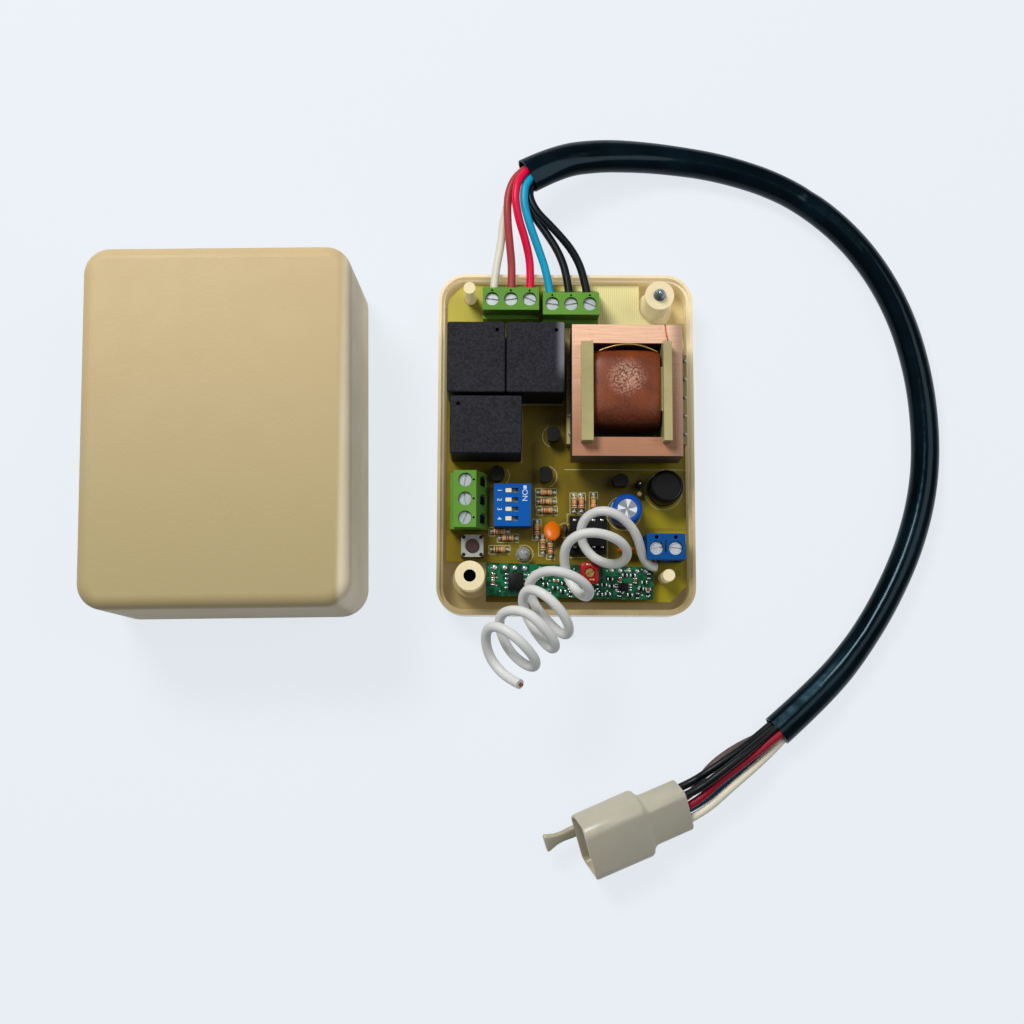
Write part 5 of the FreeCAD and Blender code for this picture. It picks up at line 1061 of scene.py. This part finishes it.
# %% Small parts of the radio board
def build_radio_parts(work):
    draw = random.Random(7)
    coil_x, coil_y = 5.14, 2.06

    def block(x, y, z, spans, soften, code, turn=0.0):
        rounded_block(work, (x, y, z), spans, soften, code, turn, radio_frame)

    def blob(x, y, profile, steps=16):
        turned(work, profile, radio_frame @ Vector((x, y, 0)), steps, 1)

    def chip(x, y, spans, legs, pitch):
        block(x, y, spans[2] / 2 + 0.1, spans, 0.12, 0)
        for side in (-1, 1):
            for index in range(legs):
                leg_y = y + (index - (legs - 1) / 2) * pitch
                block(x + side * (spans[0] / 2 + 0.45), leg_y, 0.15, (0.95, 0.4, 0.22), 0.05, 1)

    def chip_resistor(x, y, turn, code):
        block(x, y, 0.28, (0.9, 0.8, 0.45), 0.06, code, turn)
        cos, sin = math.cos(math.radians(turn)), math.sin(math.radians(turn))
        for reach in (-0.6, 0.6):
            block(x + reach * cos, y + reach * sin, 0.26, (0.38, 0.86, 0.5), 0.08, 1, turn)

    chip(-14.6, -0.4, (3.9, 4.6, 1.4), 4, 1.2)
    chip(14.4, -1.2, (2.6, 2.2, 1.0), 3, 0.7)
    chip(1.6, -1.4, (2.4, 2.4, 1.0), 3, 0.8)
    for index in range(4):
        blob(-20.3 + 2.7 * index, 3.1, [(0, 0), (0.85, 0), (0.8, 0.25), (0.5, 0.7), (0, 0.85)])
    for index in range(5):
        blob(11.2 + 2.3 * index, 3.2, [(0, 0), (0.7, 0), (0.65, 0.2), (0.4, 0.55), (0, 0.65)])
    for y in (0.9, -0.9):
        chip_resistor(-20.6, y, 90, 2)
    spots = []
    for _ in range(400):
        x, y = draw.uniform(-11.0, 21.6), draw.uniform(-3.6, 2.2)
        on_chip = abs(x - 14.4) < 2.8 and abs(y + 1.2) < 1.8 or abs(x - 1.6) < 2.8 and abs(y + 1.4) < 1.9
        on_part = any(abs(x - a) < 1.9 and abs(y - b) < 1.3 for a, b in spots)
        if on_chip or on_part or (x - coil_x) ** 2 + (y - coil_y) ** 2 < 14:
            continue
        spots.append((x, y))
        chip_resistor(x, y, draw.choice((0, 90, 0)), draw.choice((0, 0, 2)))
    for _ in range(60):
        x, y = draw.uniform(-21.5, 21.8), draw.uniform(-4.0, 3.9)
        if (x - coil_x) ** 2 + (y - coil_y) ** 2 < 12 or abs(x + 14.6) < 3.4 and abs(y) < 3.2:
            continue
        blob(x, y, [(0, 0), (0.3, 0), (0.24, 0.1), (0, 0.14)], 8)
    for x, length in ((0.0, 18.0), (-19.0, 5.0), (19.0, 5.0)):
        block(x, 3.15, -2.25, (length, 2.2, 2.4), 0.1, 0)


add_mesh("radio_board_parts", build_radio_parts, (chip_black, solder, ceramic_tan),
         ("radio_parts",))

# %% [markdown]
# ## Tuned coil
#
# The red coil is a square former with soft corners and a round throat for its slug. It could be a beveled
# box with a hole cut into it. One formula that squares a circle does both, so a single run of rings goes up
# the outside, over the rim and down the throat.


# %% Red tuned coil with gold turns showing at its windows
def build_coil(work):
    x, y, z = 6.09, -35.84, 11.5
    rings = []
    for radius, height in ((2.3, 0.0), (2.3, 0.5), (2.5, 0.7), (2.5, 3.9), (2.35, 4.3), (1.9, 4.5),
                           (1.35, 4.45), (1.28, 0.4)):
        ring = []
        for cos, sin in circle(48):
            square, long = ((cos ** 6 + sin ** 6) ** (-1 / 6), 1.14) if radius > 1.5 else (1.0, 1.0)
            spot = (x + radius * square * cos, y + radius * square * long * sin, z + height)
            ring.append(work.verts.new(spot))
        rings.append(ring)
    loft(work, rings)
    for dx, dy in ((-0.3, 2.1), (0.5, -1.9)):
        rounded_block(work, (x + dx, y + dy, z + 4.5), (1.3, 0.5, 0.2), 0.08, 1)
    for dx in (-0.9, 0.0, 0.9):
        rounded_block(work, (x + dx, y - 2.85, z + 2.6), (0.5, 0.2, 1.6), 0.05, 1)


add_mesh("tuned_coil", build_coil, (coil_skin, brass_skin), ("tuning_coil",), 40)

# %% [markdown]
# ## Entries, pins and the deep hole
#
# The wire entries of the terminals look dark because they are deep. Thin dark blocks on their faces are painted
# shade for that, and the CAD parts behind them stay as they are; a slot, two recesses and two vent dots get the
# same painted shade. The free pillar does have a hole, and a thin dark cup lines it as painted shade for its
# depth. The chip's pins are small bright blocks.

# %% Painted shade in the entries of the side and aerial terminals, the chip's bright pins, and painted shade in the free pillar's deep hole
BORE = 1.65
# Painted shade: the dark brown of the deep hole's lining.
painted_hole_shade = moulded("painted_hole_shade", srgb(46, 14, 4), 0.7, mottle=0.2)


# Painted shade: dark blocks and dots where entries, a slot, recesses and vent dots are deep.
def build_dark_marks(work):
    for index in range(3):
        at = Matrix.Translation(Vector((-22.75, -11.35 - PITCH * index, 14.15)))
        rounded_block(work, (0, 0, 0), (0.5, 2.3, 3.4), 0.2, matrix=at @ Matrix.Rotation(-0.3217, 4, "Y"))
    rounded_block(work, (26.06, -28.9, 18.5), (0.4, 3.2, 0.14), 0.05)
    for x in (24.4, 30.0):
        rounded_block(work, (x, -32.4, 11.4), (1.6, 0.4, 2.0), 0.1)
    for x, y, radius in ((-14.42, 8.53, 0.7), (-29.4, 8.84, 0.35)):
        turned(work, [(0, 23.25), (radius, 23.25), (radius - 0.05, 23.34), (0, 23.34)], (x, y, 0), 16)


def build_hole(work):
    """A thin dark cup that lines the bore, painted shade for its depth."""
    outside, inside = BORE - 0.01, BORE - 0.05
    turned(work, [(0, 3.1), (outside, 3.1), (outside, 20.6), (inside, 20.6), (inside, 3.3), (0, 3.3)],
           (-25.8, -37.1, 0))


def build_chip_pins(work):
    for x in (2.2, 4.7, 7.3, 9.6):
        for y in (-21.5, -28.7):
            rounded_block(work, (x, y, 12.9), (0.9, 0.6, 0.5))


add_mesh("painted_shade_marks", build_dark_marks, can_black)
add_mesh("pillar_hole", build_hole, painted_hole_shade)
add_mesh("chip_pins", build_chip_pins, tin_skin)

# %% [markdown]
# ## Printed outlines and solder on the main board
#
# Fine pale outlines mark where each part belongs. They are narrow flat ribbons that stand a few hundredths
# of a millimetre proud of the laminate, which is enough to catch the light as ink does.

# %% Outlines of the parts
ink = moulded("ink", srgb(196, 196, 150), 0.6)


def build_outlines(work):
    width, low, high = 0.16, BOARD_TOP + 0.004, BOARD_TOP + 0.02

    def ribbon(*points):
        for (ax, ay), (bx, by) in zip(points, points[1:]):
            spans = (math.hypot(bx - ax, by - ay), width, high - low)
            turn = math.degrees(math.atan2(by - ay, bx - ax))
            rounded_block(work, ((ax + bx) / 2, (ay + by) / 2, (low + high) / 2), spans, 0, turn=turn)

    def frame_of(left, front, right, rear):
        ribbon((left, front), (right, front), (right, rear), (left, rear), (left, front))

    def arc(x, y, radius, start, stop, steps=24):
        angles = [math.radians(start + (stop - start) * index / steps) for index in range(steps + 1)]
        ribbon(*((x + radius * math.cos(angle), y + radius * math.sin(angle)) for angle in angles))

    arc(26.8, -12.9, 5.1, 0, 360, 48)
    arc(-0.25, -23.75, 2.0, 0, 360)
    arc(*BLUE_CAN, 4.7, 0, 360, 48)
    arc(-11.4, -30.36, 2.5, -120, 120)
    arc(-5.4, -8.97, 3.0, -70, 70)
    arc(-3.3, 2.14, 3.0, 110, 250)
    arc(-18.3, -8.75, 2.9, -70, 40)
    for x, y, lying, _ in resistor_places:
        long, short = (2.9, 1.15) if lying == "x" else (1.15, 2.9)
        frame_of(x - long, y - short, x + long, y + short)
    frame_of(0.4, -31.2, 11.4, -19.3)
    ribbon((-0.3, -7.0), (33.0, -7.0))
    ribbon((-12.0, -5.4), (-12.0, 11.0), (-0.6, 11.0))


def build_solder(work):
    for x, y, lying, _ in resistor_places:
        for spot in resistor_ends(x, y, lying, 2.25, BOARD_TOP):
            turned(work, [(0, 0), (0.62, 0), (0.5, 0.12), (0.3, 0.2), (0, 0.25)], spot, 12)


add_mesh("printed_outlines", build_outlines, ink)
add_mesh("solder_rings", build_solder, tin_skin)

# %% [markdown]
# ## Case screw
#
# One long screw points up through the right pillar. Its thread could be a helix, but at this pitch plain
# ridges look the same, so they are part of one turned profile, and a loop adds them turn by turn.

# %% Case screw, with the turns of its thread
thread_steel = metal("thread_steel", srgb(150, 168, 182), 0.25)


def build_case_screw(work):
    profile = [(0, 0.6), (1.9, 0.6), (2.7, 1.5), (2.7, 3.0), (1.3, 3.0)]
    height = 3.2
    while height < 22.4:
        profile += [(1.25, height), (1.5, height + 0.25), (1.25, height + 0.5)]
        height += 0.55
    turned(work, profile + [(1.1, 23.0), (0.7, 23.7), (0, 24.0)], (24.8, 38.5, 0), 24)


add_mesh("threaded_case_screw", build_case_screw, thread_steel, ("case_screw",), 60)

# %% [markdown]
# ## Floor, light and background
#
# The background of the photograph is a plain pale blue-white. The floor shows that colour to the camera and
# to glossy and clear surfaces, and keeps a soft part of the object's shadow. The lamps stay at a plain
# level, so that each colour renders about as it is written.

# %% Floor and world
PALE = srgb(235, 240, 246)
floor_mesh = bpy.data.meshes.new("floor")
reach = 4.0
floor_mesh.from_pydata([(-reach, -reach, 0), (reach, -reach, 0), (reach, reach, 0), (-reach, reach, 0)], [],
                       [(0, 1, 2, 3)])
floor = bpy.data.objects.new("floor", floor_mesh)
floor.location.z = -0.0003
bpy.context.scene.collection.objects.link(floor)
paper = Finish("paper", Base_Color=PALE, Roughness=0.9)
camera_ray, glossy_ray, clear_ray = (paper.node("ShaderNodeLightPath", {}, {}, kind)
                                     for kind in ("Is Camera Ray", "Is Glossy Ray", "Is Transmission Ray"))
glow = paper.node("ShaderNodeEmission", {}, {"Color": PALE})
lit = Value(paper, paper.shader.outputs[0])
seen = (camera_ray + glossy_ray + clear_ray) * 0.88
blend = paper.node("ShaderNodeMixShader", {}, {0: seen, 1: lit, 2: glow})
paper.feed(paper.tree.nodes["Material Output"].inputs["Surface"], blend)
floor_mesh.materials.append(paper.material)
world = bpy.data.worlds.new("studio")
bpy.context.scene.world = world
world.use_nodes = True
world.node_tree.nodes["Background"].inputs["Color"].default_value = PALE
world.node_tree.nodes["Background"].inputs["Strength"].default_value = 0.19
print("floor reaches", reach, "m each way")

# %% [markdown]
# ## Two soft lamps
#
# The photograph's light is soft and comes from the far left. A small lamp would cut hard shadows, so both
# lamps are discs, the stronger one at the far left and a weak, wider one at the right.


# %% Lamps
def lamp(name, at, aim, size, power):
    data = bpy.data.lights.new(name, "AREA")
    data.shape = "DISK"
    data.size = size
    data.energy = power
    made = bpy.data.objects.new(name, data)
    made.location = at
    made.rotation_euler = (Vector(aim) - Vector(at)).to_track_quat("-Z", "Y").to_euler()
    bpy.context.scene.collection.objects.link(made)


lamp("key_lamp", (-0.35, 0.45, 0.75), (0, 0, 0), 0.35, 7.2)
lamp("fill_lamp", (0.5, 0.1, 0.8), (0, 0, 0), 0.6, 2.0)
print("lamps:", len(bpy.data.lights))
